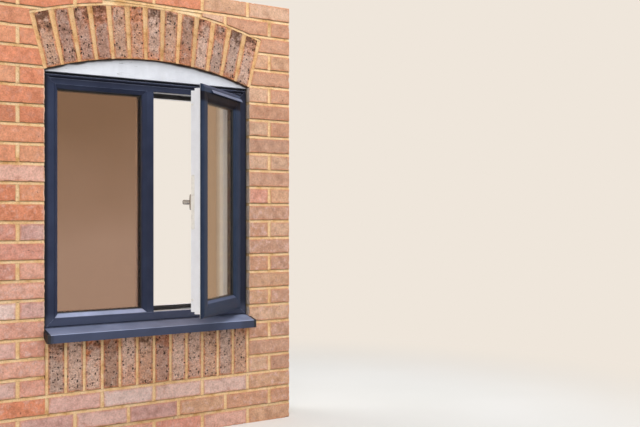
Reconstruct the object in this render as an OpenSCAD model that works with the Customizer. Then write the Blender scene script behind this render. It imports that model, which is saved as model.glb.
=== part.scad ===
// Two-light casement window in a segmental-arched opening of a cavity wall.
// Origin: middle of the underside of the outer brick leaf, below the middle of the opening.
// +X runs to the right seen from outside, +Y into the room, +Z up. Millimetres.

/* [Brickwork] */
// Length of a brick
brick_l = 215; // [200:1:240]
// Height of a brick
brick_h = 65; // [50:1:73]
// Thickness of the outer brick leaf
leaf_t = 102.5; // [95:0.5:115]
// Thickness of a mortar joint
joint_t = 10; // [6:0.5:14]
// How far the mortar lies behind the brick faces
joint_recess = 4; // [1:0.5:8]
// Courses below the soldier course
courses_below = 3; // [1:1:6]
// Courses beside the opening, from the soldiers' tops to the springing
courses_beside = 14; // [12:1:20]
// Courses above the springing
courses_above = 5; // [5:1:8]
// Width of brickwork kept on each side of the opening
pier_w = 215; // [160:5:450]
// Width of the opening between its brick reveals
opening_w = 910; // [800:5:1300]

/* [Arch] */
// Rise of the arch above the springing
arch_rise = 75; // [50:1:100]
// Bricks in the arch ring
arch_n = 13; // [9:2:19]
// Width of an arch brick on the face
arch_brick_w = 59; // [45:0.5:62]
// Lean of the ring's ends away from upright
skew_a = 15; // [11:0.5:18]

/* [Inner wall] */
// Width of the insulated cavity
cavity_t = 75; // [50:5:150]
// Thickness of the block leaf
block_t = 100; // [90:5:150]
// Thickness of the plaster on the room side
plaster_t = 13; // [10:0.5:20]
// Height of the lintel in the block leaf
lintel_h = 140; // [100:5:215]
// Bearing of the lintel on each side of the opening
lintel_bearing = 150; // [100:5:155]
// Thickness of the window board
board_t = 18; // [15:1:30]
// Reach of the window board past the plaster
board_nose = 28; // [15:1:60]
// Length of the window board's horns past the reveals
board_horn = 40; // [10:1:60]

/* [Frame] */
// Depth of the frame from its outer to its inner face
frame_d = 72; // [70:1:80]
// Recess of the frame behind the brick face
frame_recess = 20; // [10:1:40]
// Gap filled with sealant at each side of the frame
seal_gap = 5; // [3:0.5:10]
// Height of the frame's underside above the soldiers' tops
frame_lift = 42; // [36:0.5:55]
// Height of the strip between the frame's top and the infill panel
strip_h = 11.5; // [8:0.5:20]
// Drop of the infill panel's bottom edge below the springing
panel_drop = 5.5; // [1:0.5:10]
// Flat outer face of the frame bars
face_w = 36; // [30:0.5:46]
// Width of the frame's inner leg past the flat faces
leg_w = 22; // [18:0.5:24]
// Depth at which the inner leg starts, measured from the frame's outer face
leg_y = 52; // [52:0.5:54]
// Width of the glazing bead round the fixed light
bevel_w = 16.5; // [14:0.5:20]
// Depth of the bead's bevel
bevel_d = 12; // [6:0.5:15]
// Height of the groove along the frame's head
groove_h = 7.5; // [5:0.5:9]
// Depth of the grooves in the frame's outer face
groove_d = 8; // [4:0.5:12]
// Distance of the head's groove from the frame's top
groove_top = 6.5; // [5:0.5:10]
// Distance of the grooves' ends from the frame's sides
groove_inset = 15; // [8:1:30]
// Height of the shadow joint between the frame and the sill
shadow_h = 5; // [3:0.5:8]
// Flat outer face of the mullion
mullion_w = 30; // [26:0.5:50]
// Distance from the middle of the opening to the left edge of the mullion's flat face
mullion_x = -23; // [-60:1:40]
// Thickness of the infill panel under the arch
panel_t = 24; // [18:1:28]

/* [Sill] */
// Reach of the sill in front of the brick face
sill_reach = 50; // [30:1:80]
// Height of the sill's front nose
nose_h = 34; // [25:0.5:40]
// Thickness of the sill's front nose
nose_t = 16; // [10:0.5:24]
// Slope of the sill's top
sill_slope = 14; // [5:0.5:16]
// Thickness of the sill under the frame
sill_t = 30; // [24:0.5:34]
// Thickness of the sill's end caps
cap_t = 3; // [2:0.5:5]
// Reach of the caps' ears past the opening, in front of the wall
cap_ear = 9; // [5:0.5:15]

/* [Casement] */
// Angle at which the casement stands open
open_a = 39; // [30:0.1:45]
// Overlap of the closed casement's lip on the frame's face
lip_lap = 8; // [5:0.5:12]
// Thickness of the lip
lip_t = 15; // [12:0.5:16]
// Depth of the casement from its outer to its inner face
sash_d = 64; // [62:0.5:64]
// Width of the bevel along the casement's outer edge
edge_w = 12; // [6:0.5:14]
// Depth of the bevel along the casement's outer edge
edge_d = 5; // [2:0.5:6]
// Width of the casement's bars down to where their face turns towards the glass
sash_face_w = 35; // [30:0.5:40]
// Width of the casement's bars down to the glazing bead
sash_bar_w = 54; // [50:0.5:58]
// Fall of the face between its turn and the bead
sash_fall = 4; // [2:0.5:6]
// Width of the casement's glazing bead
sash_bead_w = 11; // [9:0.5:14]
// Depth of the bevel on the casement's glazing bead
sash_bead_d = 8; // [6:0.5:9]
// Straight foot of the casement's glazing bead in front of the gasket
sash_bead_foot = 2; // [1:0.5:3]
// Width of the drip bar's sloping face on the top rail
drip_h = 14; // [8:0.5:18]
// Reach of the drip bar in front of the casement
drip_reach = 9; // [6:0.5:14]
// First step of the casement's edge behind the lip
step1 = 16; // [12:0.5:18]
// Second step of the casement's edge, measured from the lip
step2 = 24; // [20:0.5:26]
// Depth at which the second step starts
step2_y = 45; // [42:0.5:46]
// Shift of the hinge edge away from the jamb when open
hinge_shift = 8; // [4:0.5:20]
// Distance of the open hinge edge in front of the frame's face
hinge_out = 25.5; // [24:0.5:34]

/* [Glazing] */
// Thickness of a sheet of glass
glass_t = 4; // [3:0.5:6]
// Width of the spacer between the two sheets
spacer_t = 16; // [12:1:18]
// Thickness of the gaskets on both sides of the sealed units
gasket_t = 3; // [2:0.5:4]
// Gap between the edges of the glass and the bars round it
glass_gap = 4; // [3:0.5:6]
// Width of gasket that shows round the glass
gasket_show = 3; // [2:0.5:5]

/* [Hardware] */
// Thickness of the stays' tracks and sash bars
stay_plate_t = 3; // [2:0.5:4]
// Width of the stays' tracks and sash bars
stay_plate_w = 18; // [14:0.5:20]
// Thickness of the stays' arms
stay_arm_t = 3.5; // [2.5:0.5:4]
// Width of the stays' arms
stay_arm_w = 16; // [12:0.5:18]
// Length of the stays' tracks
track_l = 250; // [220:5:280]
// Length of the stays' bars on the casement
stay_bar_l = 200; // [170:5:220]
// Width of the lock strip on the casement's edge
strip_w = 16; // [12:0.5:20]
// Thickness of the lock strip
strip_t = 2.5; // [2:0.5:4]
// Height of the handle's middle above the soldiers' tops
handle_z = 534; // [400:1:700]
// Length of the handle's lever
lever_l = 118; // [90:1:140]
// Length of the lock's face plate
plate_l = 220; // [180:5:260]
// Length of a keep on the mullion
keep_l = 34; // [26:1:44]

/* [Hidden] */

$fn = 48;
// Overshoot of a cut past the solid that it cuts
eps = 1;
// Facets of the arch's arcs
arc_fn = 180;

course_h = brick_h + joint_t;
wall_w = opening_w + 2 * pier_w;
half_open = opening_w / 2;
soldier_z = courses_below * course_h;
sill_z = soldier_z + brick_l;
spring_z = sill_z + courses_beside * course_h;
wall_h = spring_z + courses_above * course_h;

leaf_y = -leaf_t / 2;
cavity_y = leaf_t / 2;
block_y = cavity_y + cavity_t;
plaster_y = block_y + block_t;
room_y = plaster_y + plaster_t;

arch_r = (half_open * half_open + arch_rise * arch_rise) / (2 * arch_rise);
arch_cz = spring_z + arch_rise - arch_r;
fan_z = spring_z - half_open / tan(skew_a);
fan_r = half_open / sin(skew_a);

frame_y = leaf_y + frame_recess;
frame_w = opening_w - 2 * seal_gap;
frame_z = sill_z + frame_lift;
strip_top_z = spring_z - panel_drop;
frame_top_z = strip_top_z - strip_h;
frame_h = frame_top_z - frame_z;
frame_back_y = frame_y + frame_d;
board_z = frame_z + 4;
mullion_end_x = mullion_x + mullion_w;
unit_t = 2 * glass_t + spacer_t;

// Outline of a rectangle from its corners
module rect(x0, z0, x1, z1) {
    translate([x0, z0]) square([x1 - x0, z1 - z0]);
}

// Solid between two depths whose outline is drawn in X and Z
module slab(y0, y1) {
    translate([0, y1, 0]) rotate([90, 0, 0]) linear_extrude(height = y1 - y0) children();
}

// Segmental arch ring between its skewbacks
module ring_outline() {
    intersection() {
        difference() {
            translate([0, arch_cz]) circle(r = arch_r + brick_l, $fn = arc_fn);
            translate([0, arch_cz]) circle(r = arch_r, $fn = arc_fn);
        }
        fan_outline();
    }
}

// Wedge that spreads from the joints' meeting point through the skewbacks
module fan_outline() {
    far = fan_r + 3 * brick_l;
    polygon([[0, fan_z], [-far * sin(skew_a), fan_z + far * cos(skew_a)], [far * sin(skew_a), fan_z + far * cos(skew_a)]]);
}

// Faces of the arch bricks, each turned to its own joint line
module arch_faces() {
    pitch_a = 2 * skew_a / arch_n;
    for (i = [0 : arch_n - 1])
        translate([0, fan_z]) rotate(skew_a - (i + 0.5) * pitch_a)
            translate([-arch_brick_w / 2, fan_r / 2]) square([arch_brick_w, fan_r]);
}

// Segment under the arch, above a level
module under_arch(z0, gap) {
    intersection() {
        translate([0, arch_cz]) circle(r = arch_r - gap, $fn = arc_fn);
        rect(-half_open + gap, z0, half_open - gap, wall_h);
    }
}

module brickwork_left() {
    color("#cf8a68") slab(leaf_y, cavity_y) rect(-wall_w / 2, 0, -half_open, spring_z);
}

module brickwork_right() {
    color("#cf8a68") slab(leaf_y, cavity_y) rect(half_open, 0, wall_w / 2, spring_z);
}

module brickwork_below() {
    color("#cf8a68") slab(leaf_y, cavity_y) rect(-half_open, 0, half_open, soldier_z - joint_t);
}

module brickwork_above() {
    color("#cf8a68") slab(leaf_y, cavity_y) difference() {
        rect(-wall_w / 2, spring_z, wall_w / 2, wall_h);
        intersection() {
            translate([0, arch_cz]) circle(r = arch_r + brick_l, $fn = arc_fn);
            fan_outline();
        }
    }
}

module arch_bricks() {
    color("#9a7a70") slab(leaf_y, cavity_y) intersection() {
        ring_outline();
        arch_faces();
    }
}

module arch_mortar() {
    color("#dcc08c") slab(leaf_y + joint_recess, cavity_y) difference() {
        ring_outline();
        arch_faces();
    }
}

// Faces of the bricks on end below the sill
module soldier_faces() {
    count = round((opening_w - joint_t) / course_h);
    pitch = (opening_w - joint_t) / count;
    for (i = [0 : count - 1])
        translate([-half_open + joint_t + i * pitch, soldier_z]) square([pitch - joint_t, brick_l]);
}

module soldier_bricks() {
    color("#9a7a70") slab(leaf_y, cavity_y) soldier_faces();
}

module soldier_mortar() {
    color("#dcc08c") slab(leaf_y + joint_recess, cavity_y) difference() {
        rect(-half_open, soldier_z - joint_t, half_open, sill_z);
        soldier_faces();
    }
}

// Height of the soffit's plaster and of the lintel above it
soffit_z = spring_z;
lintel_z = soffit_z + plaster_t;

module insulation_sides() {
    color("#e3cf8f") for (side = [0, 1]) mirror([side, 0, 0])
        slab(cavity_y, block_y) rect(half_open, 0, wall_w / 2, wall_h);
}

module insulation_middle() {
    color("#e3cf8f") slab(cavity_y, block_y) {
        rect(-half_open, 0, half_open, board_z);
        rect(-half_open, lintel_z, half_open, wall_h);
    }
}

// Face of the lintel, with its bearings in the block leaf
module lintel_face() {
    reach = half_open + lintel_bearing;
    rect(-reach, lintel_z, reach, lintel_z + lintel_h);
}

module blockwork_sides() {
    color("#b9b7b0") for (side = [0, 1]) mirror([side, 0, 0])
        slab(block_y, plaster_y) difference() {
            rect(half_open, 0, wall_w / 2, wall_h);
            lintel_face();
        }
}

module blockwork_middle() {
    color("#b9b7b0") slab(block_y, plaster_y) {
        rect(-half_open, 0, half_open, board_z);
        rect(-half_open, lintel_z + lintel_h, half_open, wall_h);
    }
}

module lintel() {
    color("#a7a49c") slab(block_y, plaster_y) lintel_face();
}

// Plaster on the wall and on the reveal at the left of the opening
module plaster_side() {
    difference() {
        union() {
            slab(plaster_y, room_y) rect(-wall_w / 2, 0, -half_open + plaster_t, wall_h);
            slab(frame_back_y, room_y) rect(-half_open, board_z, -half_open + plaster_t, soffit_z);
        }
        slab(plaster_y, plaster_y + eps) rect(-half_open, 0, -half_open + plaster_t, board_z);
        board_solid();
    }
}

module plaster_sides() {
    color("#efece6") for (side = [0, 1]) mirror([side, 0, 0]) plaster_side();
}

module plaster_middle() {
    inside = half_open - plaster_t;
    color("#efece6") {
        slab(plaster_y, room_y) rect(-inside, 0, inside, board_z);
        slab(plaster_y, room_y) rect(-inside, soffit_z, inside, wall_h);
        slab(frame_back_y, room_y) rect(-inside, soffit_z, inside, lintel_z);
    }
}

// Board between the reveals with a rounded nose and horns in front of the plaster
module board_solid() {
    nose_x = half_open + board_horn;
    slab(frame_back_y, room_y) rect(-half_open, board_z, half_open, board_z + board_t);
    translate([nose_x, 0, 0]) rotate([90, 0, -90]) linear_extrude(height = 2 * nose_x) {
        translate([-room_y - board_nose + board_t / 2, board_z]) square([board_nose - board_t / 2, board_t]);
        translate([-room_y - board_nose + board_t / 2, board_z + board_t / 2]) circle(d = board_t);
    }
}

module window_board() {
    color("#f2f1ee") board_solid();
}

// Mortar that beds the sill on the soldiers
module sill_bed() {
    depth = frame_back_y - 8;
    color("#dcc08c") slab(leaf_y + 12, depth) rect(-half_open, sill_z, half_open, frame_z - sill_t);
}

// Section of the sill in Y and Z: seat, sloping top and nose, with the nose's foot joined to the wall at under_y
module sill_section(under_y) {
    slope_y = frame_y + groove_d;
    nose_y = leaf_y - sill_reach;
    nose_top = frame_z - (slope_y - nose_y) * tan(sill_slope);
    under = frame_z - sill_t;
    polygon([
        [nose_y, nose_top - nose_h], [nose_y + nose_t, nose_top - nose_h], [under_y, under],
        [frame_back_y, under], [frame_back_y, frame_z], [slope_y, frame_z], [nose_y, nose_top]
    ]);
}

module sill_bar(x0, x1) {
    translate([x0, 0, 0]) rotate([90, 0, 90]) linear_extrude(height = x1 - x0) children();
}

module sill() {
    color("#353c4e") sill_bar(-half_open + cap_t, half_open - cap_t)
        sill_section(leaf_y - sill_reach + nose_t);
}

// Plates over the sill's ends, with ears in front of the brickwork
module sill_caps() {
    wall_gap = 2;
    front_y = leaf_y - wall_gap;
    color("#2b3140") for (side = [0, 1]) mirror([side, 0, 0]) {
        sill_bar(-half_open, -half_open + cap_t) sill_section(front_y);
        sill_bar(-half_open - cap_ear, -half_open + cap_t) intersection() {
            sill_section(front_y);
            rect(front_y - sill_reach, 0, front_y, frame_z);
        }
    }
}

module side_seals() {
    color("#b8b4ad") for (side = [0, 1]) mirror([side, 0, 0])
        slab(frame_y + 3, frame_back_y) rect(-half_open, frame_z, -half_open + seal_gap, strip_top_z);
}

// Strip between the frame and the infill panel, set back behind both
module head_strip() {
    half = frame_w / 2;
    color("#2b3140") slab(frame_y + 2 * groove_d, frame_back_y) rect(-half, frame_top_z, half, strip_top_z);
}

module infill_panel() {
    color("#e6e9ee") slab(frame_y, frame_y + panel_t) under_arch(strip_top_z, 1);
}

// Section of a frame bar: X from the frame's outer edge inwards, Y from its outer face
module frame_section() {
    polygon([[0, 0], [face_w, 0], [face_w, leg_y], [face_w + leg_w, leg_y], [face_w + leg_w, frame_d], [0, frame_d]]);
}

// Groove along the outer face of the frame's head or foot
module frame_groove(z, height) {
    half = frame_w / 2 - groove_inset;
    slab(frame_y - eps, frame_y + groove_d) rect(-half, z, half, z + height);
}

// One bar of a mitred rectangle w by h whose lower left outer corner is at the origin.
// The section lies along the left side, and each other side is the same bar turned in the rectangle's plane.
module mitred(w, h, side) {
    if (side == "left")
        mitred_bar(h, w / 2) children();
    if (side == "right")
        translate([w, 0, h]) rotate([0, 180, 0]) mitred_bar(h, w / 2) children();
    if (side == "bottom")
        translate([w, 0, 0]) rotate([0, -90, 0]) mitred_bar(w, h / 2) children();
    if (side == "top")
        translate([0, 0, h]) rotate([0, 90, 0]) mitred_bar(w, h / 2) children();
}

// Upright bar whose ends are cut at 45 degrees inwards from its outer edge
module mitred_bar(len, reach) {
    deep = 100;
    tip = min(reach, len / 2);
    intersection() {
        linear_extrude(height = len) children();
        slab(-deep, deep) polygon([[0, 0], [tip, tip], [tip, len - tip], [0, len]]);
    }
}

module frame_bar(side) {
    translate([-frame_w / 2, frame_y, frame_z]) mitred(frame_w, frame_h, side) frame_section();
}

module frame_head() {
    color("#353c4e") difference() {
        frame_bar("top");
        frame_groove(frame_top_z - groove_top - groove_h, groove_h);
    }
}

module frame_bottom() {
    color("#353c4e") difference() {
        frame_bar("bottom");
        frame_groove(frame_z - eps, shadow_h + eps);
    }
}

module frame_jamb_left() {
    color("#353c4e") frame_bar("left");
}

module frame_jamb_right() {
    color("#353c4e") frame_bar("right");
}

// T-section with an inner leg on both sides, scribed over the head and the bottom rail
module mullion() {
    color("#353c4e") difference() {
        translate([mullion_x, frame_y, frame_z + face_w]) linear_extrude(height = frame_h - 2 * face_w) polygon([
            [0, 0], [mullion_w, 0], [mullion_w, leg_y], [mullion_w + leg_w, leg_y],
            [mullion_w + leg_w, frame_d], [-leg_w, frame_d], [-leg_w, leg_y], [0, leg_y]
        ]);
        frame_bar("top");
        frame_bar("bottom");
    }
}

// Black seal on the inner legs round the opening light, which the closed casement presses on
module frame_gasket() {
    free_edge = 2;
    lap = leg_w - free_edge;
    color("#16181c") slab(frame_y + leg_y - gasket_t, frame_y + leg_y) difference() {
        rect(mullion_end_x, frame_z + face_w, frame_w / 2 - face_w, frame_top_z - face_w);
        rect(mullion_end_x + lap, frame_z + face_w + lap, frame_w / 2 - face_w - lap, frame_top_z - face_w - lap);
    }
}

// Clear size between the flat faces round the fixed light
fixed_w = mullion_x + frame_w / 2 - face_w;
fixed_h = frame_h - 2 * face_w;
fixed_x = -frame_w / 2 + face_w;
fixed_z = frame_z + face_w;
fixed_glass_y = leg_y - gasket_t - unit_t;

// All four bars of a mitred rectangle
module mitred_frame(w, h) {
    for (side = ["left", "right", "bottom", "top"])
        mitred(w, h, side) children();
}

// Bead in front of the glass: X from the bar inwards, its face falling from one depth to another
module bead_section(width, front, fall, back) {
    polygon([[0, front], [width, front + fall], [width, back], [0, back]]);
}

module fixed_beads() {
    color("#353c4e") translate([fixed_x, frame_y, fixed_z]) mitred_frame(fixed_w, fixed_h)
        bead_section(bevel_w, 0, bevel_d, fixed_glass_y - gasket_t);
}

// Two sheets of glass whose edges lie behind the beads
module unit_sheets(w, h) {
    for (y = [0, glass_t + spacer_t])
        slab(y, y + glass_t) rect(0, 0, w, h);
}

// Rectangle w by h without its middle, whose border runs between two distances from the edge
module border(w, h, from, to) {
    difference() {
        rect(from, from, w - from, h - from);
        rect(to, to, w - to, h - to);
    }
}

// Spacer between the sheets, set in from their edges
module unit_spacer(w, h) {
    edge = 2;
    bar = 8;
    slab(glass_t, glass_t + spacer_t) border(w, h, edge, edge + bar);
}

// Gaskets against both sheets, up to the daylight edge
module unit_gasket(w, h, reach) {
    for (y = [-gasket_t, unit_t])
        slab(y, y + gasket_t) border(w, h, 0, reach);
}

module at_fixed_glass() {
    translate([fixed_x + glass_gap, frame_y + fixed_glass_y, fixed_z + glass_gap]) children();
}

fixed_glass_w = fixed_w - 2 * glass_gap;
fixed_glass_h = fixed_h - 2 * glass_gap;

module fixed_glass() {
    color("#9fb4b8", 0.4) at_fixed_glass() unit_sheets(fixed_glass_w, fixed_glass_h);
}

// Size of the casement over its lips, and its place
sash_w = frame_w / 2 - face_w - mullion_end_x + 2 * lip_lap;
sash_h = frame_h - 2 * (face_w - lip_lap);
sash_z = frame_z + face_w - lip_lap;
hinge_x = frame_w / 2 - face_w + lip_lap - hinge_shift;
hinge_y = frame_y - hinge_out;
sash_glass_y = sash_fall + sash_bead_d + sash_bead_foot + gasket_t;
sash_leg_y = sash_glass_y + unit_t + gasket_t;

// Puts what is drawn with X from the lock side's lip and Y from the outer face on the open casement
module on_sash() {
    translate([hinge_x, hinge_y, sash_z]) rotate([0, 0, open_a]) translate([-sash_w, 0, 0]) children();
}

// Section of a casement bar: bevelled lip, face that falls to the bead, inner leg, and two steps on the outside
module sash_section() {
    leg_u = sash_bar_w + sash_bead_w;
    polygon([
        [0, edge_d], [edge_w, 0], [sash_face_w, 0], [sash_bar_w, sash_fall], [sash_bar_w, sash_leg_y],
        [leg_u, sash_leg_y], [leg_u, sash_d], [step2, sash_d], [step2, step2_y],
        [step1, step2_y], [step1, lip_t], [0, lip_t]
    ]);
}

module sash_bar(side) {
    on_sash() mitred(sash_w, sash_h, side) sash_section();
}

module sash_top_rail() {
    color("#3a4256") sash_bar("top");
}

module sash_bottom_rail() {
    color("#3a4256") sash_bar("bottom");
}

module sash_hinge_stile() {
    color("#3a4256") sash_bar("right");
}

module sash_lock_stile() {
    color("#3a4256") sash_bar("left");
}

sash_glass_in = sash_bar_w + glass_gap;
sash_glass_w = sash_w - 2 * sash_glass_in;
sash_glass_h = sash_h - 2 * sash_glass_in;

module at_sash_glass() {
    on_sash() translate([sash_glass_in, sash_glass_y, sash_glass_in]) children();
}

module sash_glass() {
    color("#9fb4b8", 0.4) at_sash_glass() unit_sheets(sash_glass_w, sash_glass_h);
}

module glass_spacers() {
    color("#2c2b2a") {
        at_fixed_glass() unit_spacer(fixed_glass_w, fixed_glass_h);
        at_sash_glass() unit_spacer(sash_glass_w, sash_glass_h);
    }
}

module glass_gaskets() {
    color("#16181c") {
        at_fixed_glass() unit_gasket(fixed_glass_w, fixed_glass_h, bevel_w - glass_gap + gasket_show);
        at_sash_glass() unit_gasket(sash_glass_w, sash_glass_h, sash_bead_w - glass_gap + gasket_show);
    }
}

module sash_beads() {
    color("#353c4e") on_sash() translate([sash_bar_w, 0, sash_bar_w])
        mitred_frame(sash_w - 2 * sash_bar_w, sash_h - 2 * sash_bar_w)
            bead_section(sash_bead_w, sash_fall, sash_bead_d, sash_glass_y - gasket_t);
}

// Bar with a sloping face along the top rail, from past the lock stile's mitre to the hinge edge
module drip_bar() {
    wall = 2;
    start = sash_bar_w + sash_bead_w + 20;
    end = sash_w - 3;
    top = sash_h - edge_w - wall;
    color("#353c4e") on_sash() translate([start, 0, 0]) rotate([90, 0, 90]) linear_extrude(height = end - start)
        polygon([
            [0, top], [-drip_reach, top - drip_h], [-drip_reach + wall, top - drip_h - wall], [0, top - drip_h + wall]
        ]);
}

// Place in plan of a point on the casement, from its distance to the hinge edge and its depth
function sash_point(reach, depth) = [
    hinge_x - reach * cos(open_a) - depth * sin(open_a),
    hinge_y - reach * sin(open_a) + depth * cos(open_a)
];

// Flat bar with round ends between two points in plan
module link(from, to, width, thick) {
    run = to - from;
    translate([from[0], from[1], 0]) rotate([0, 0, atan2(run[1], run[0])]) linear_extrude(height = thick) {
        circle(d = width);
        translate([norm(run), 0]) circle(d = width);
        translate([0, -width / 2]) square([norm(run), width]);
    }
}

// Friction stay under the casement: track on the frame, bar on the casement and two arms riveted to both
module stay() {
    gap = step2 - lip_lap;
    hinge_gap = 8;
    bar_start = 30;
    near_pivot = 17;
    far_pivot = 84;
    near_joint = 10;
    far_joint = 170;
    washer_t = 1;
    rivet_d = 10;
    bar_y = (step2_y + sash_d) / 2;
    stay_y = frame_y + bar_y - lip_t;
    track_end = frame_w / 2 - face_w - hinge_gap;
    arm_z = gap - stay_plate_t - washer_t - stay_arm_t;
    arm_mid_z = arm_z + stay_arm_t / 2;
    pivots = [[track_end - near_pivot, stay_y], [track_end - far_pivot, stay_y]];
    joints = [sash_point(bar_start + near_joint, bar_y), sash_point(bar_start + far_joint, bar_y)];
    translate([0, 0, frame_z + face_w]) {
        translate([track_end - track_l, stay_y - stay_plate_w / 2, 0]) cube([track_l, stay_plate_w, stay_plate_t]);
        translate([0, 0, gap - stay_plate_t])
            link(sash_point(bar_start, bar_y), sash_point(bar_start + stay_bar_l, bar_y), stay_plate_w, stay_plate_t);
        for (i = [0, 1]) {
            translate([0, 0, arm_z]) link(pivots[i], joints[i], stay_arm_w, stay_arm_t);
            translate([pivots[i][0], pivots[i][1], stay_plate_t / 2])
                cylinder(d = rivet_d, h = arm_mid_z - stay_plate_t / 2);
            translate([joints[i][0], joints[i][1], arm_mid_z])
                cylinder(d = rivet_d, h = gap - stay_plate_t / 2 - arm_mid_z);
        }
    }
}

module stay_bottom() {
    color("#b6bac0") stay();
}

module stay_top() {
    color("#b6bac0") translate([0, 0, 2 * frame_z + frame_h]) mirror([0, 0, 1]) stay();
}

// Height of a point above the soldiers' tops, measured on the casement
function on_lock(z) = z + sill_z - sash_z;

// Lock's face plate on the casement's edge, with two studs on it and one towards each end of the edge
module lock_strip() {
    mid_y = (step2_y + sash_d) / 2;
    near = 30;
    far = 390;
    stud_d = 9;
    stud_h = 6;
    color("#b6bac0") on_sash() {
        translate([step2 - strip_t, mid_y - strip_w / 2, on_lock(handle_z) - plate_l / 2])
            cube([strip_t, strip_w, plate_l]);
        for (z = [handle_z - near, handle_z + near])
            translate([step2 - strip_t - stud_h, mid_y, on_lock(z)]) rotate([0, 90, 0]) cylinder(d = stud_d, h = stud_h);
        for (z = [handle_z - far, handle_z + far])
            translate([step2 - strip_t - stud_h, mid_y, on_lock(z)]) rotate([0, 90, 0])
                cylinder(d = stud_d, h = stud_h + strip_t);
    }
}

// Keeps on the mullion that the studs slide behind: one near each end stud and one at the handle
module lock_keeps() {
    keep_t = 6;
    keep_w = 18;
    far = 355;
    keep_y = frame_y + (step2_y + sash_d) / 2 - lip_t - keep_w / 2;
    color("#c9ccd0") for (z = [handle_z - far, handle_z, handle_z + far])
        translate([mullion_end_x, keep_y, sill_z + z - keep_l / 2]) cube([keep_t, keep_w, keep_l]);
}

// Lever handle on the inner face, turned level
module handle() {
    base_w = 28;
    base_t = 11;
    base_h = 64;
    base_r = 6;
    lever_w = 20;
    lever_t = 11;
    reach = 34;
    neck_d = 18;
    color("#eef0f2") on_sash() translate([(step2 + sash_bar_w + sash_bead_w) / 2, sash_d, on_lock(handle_z)]) rotate([-90, 0, 0]) {
        linear_extrude(height = base_t) offset(r = base_r, $fn = 24)
            square([base_w - 2 * base_r, base_h - 2 * base_r], center = true);
        translate([0, 0, base_t]) cylinder(d = neck_d, h = reach - base_t);
        translate([0, 0, reach]) linear_extrude(height = lever_t) {
            circle(d = lever_w);
            translate([0, -lever_w / 2]) square([lever_l - lever_w, lever_w]);
            translate([lever_l - lever_w, 0]) circle(d = lever_w);
        }
    }
}

brickwork_left();
brickwork_right();
brickwork_below();
brickwork_above();
arch_bricks();
arch_mortar();
soldier_bricks();
soldier_mortar();
insulation_sides();
insulation_middle();
blockwork_sides();
blockwork_middle();
lintel();
plaster_sides();
plaster_middle();
window_board();
sill_bed();
sill();
sill_caps();
side_seals();
head_strip();
infill_panel();
frame_head();
frame_bottom();
frame_jamb_left();
frame_jamb_right();
mullion();
frame_gasket();
fixed_glass();
fixed_beads();
sash_top_rail();
sash_bottom_rail();
sash_hinge_stile();
sash_lock_stile();
sash_glass();
sash_beads();
drip_bar();
glass_spacers();
glass_gaskets();
stay_top();
stay_bottom();
lock_strip();
lock_keeps();
handle();
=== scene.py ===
"""Looks of a brick wall's window: brickwork, arch, frame, open casement, sill and room side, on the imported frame."""

import logging
import math
from collections.abc import Callable
from dataclasses import dataclass, field
from enum import Enum

import bpy
import numpy as np
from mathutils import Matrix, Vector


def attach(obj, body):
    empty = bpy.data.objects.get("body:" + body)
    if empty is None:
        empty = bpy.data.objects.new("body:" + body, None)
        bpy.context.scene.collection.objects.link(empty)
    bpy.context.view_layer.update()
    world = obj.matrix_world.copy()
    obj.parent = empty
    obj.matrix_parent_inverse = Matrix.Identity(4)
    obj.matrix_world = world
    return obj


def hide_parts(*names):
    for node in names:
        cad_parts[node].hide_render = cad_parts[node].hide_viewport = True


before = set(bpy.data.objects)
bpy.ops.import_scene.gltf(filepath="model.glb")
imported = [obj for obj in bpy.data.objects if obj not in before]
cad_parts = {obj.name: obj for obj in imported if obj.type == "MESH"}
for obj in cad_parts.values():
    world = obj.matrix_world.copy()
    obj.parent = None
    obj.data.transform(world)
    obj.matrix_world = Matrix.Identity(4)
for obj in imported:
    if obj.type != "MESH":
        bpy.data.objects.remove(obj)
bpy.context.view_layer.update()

Array = np.ndarray
Move = Callable[[Array], Array]
Place = Callable[[Array, Array], tuple[Array, Array]]
Tree = bpy.types.NodeTree
Feed = bpy.types.Node | bpy.types.NodeSocket
LOG = logging.getLogger("window")
MM = 0.001
# Multipliers of the noise's hash: one for each axis and one for the seed, then one for each round of mixing
AXIS_KEYS = (73856093, 19349663, 83492791)
SEED_KEY, FIRST_KEY, SECOND_KEY = 2654435761, 1274126177, 2246822519
# The pale warm colour round the scene
SURROUND = "#efe6db"
# In millimetres: how far back from a brick's face its rim reaches, and how far in from its border chips and rim reach
SMEAR_Y, CHIP_REACH, RIM_REACH = 9.0, 8.0, 15.0
# Faces that meet at more than this angle show a crease
SHARP = math.radians(40)


def linear(code: str) -> tuple[float, float, float, float]:
    """Turns an sRGB hex code into linear red, green, blue and an alpha of one.

    Args:
        code: Hash sign and six hex digits.

    Returns:
        The four values.
    """
    value = np.array([int(code[i : i + 2], 16) for i in (1, 3, 5)]) / 255
    line = np.where(value <= 0.04045, value / 12.92, ((value + 0.055) / 1.055) ** 2.4)
    return (*line.tolist(), 1.0)


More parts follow.
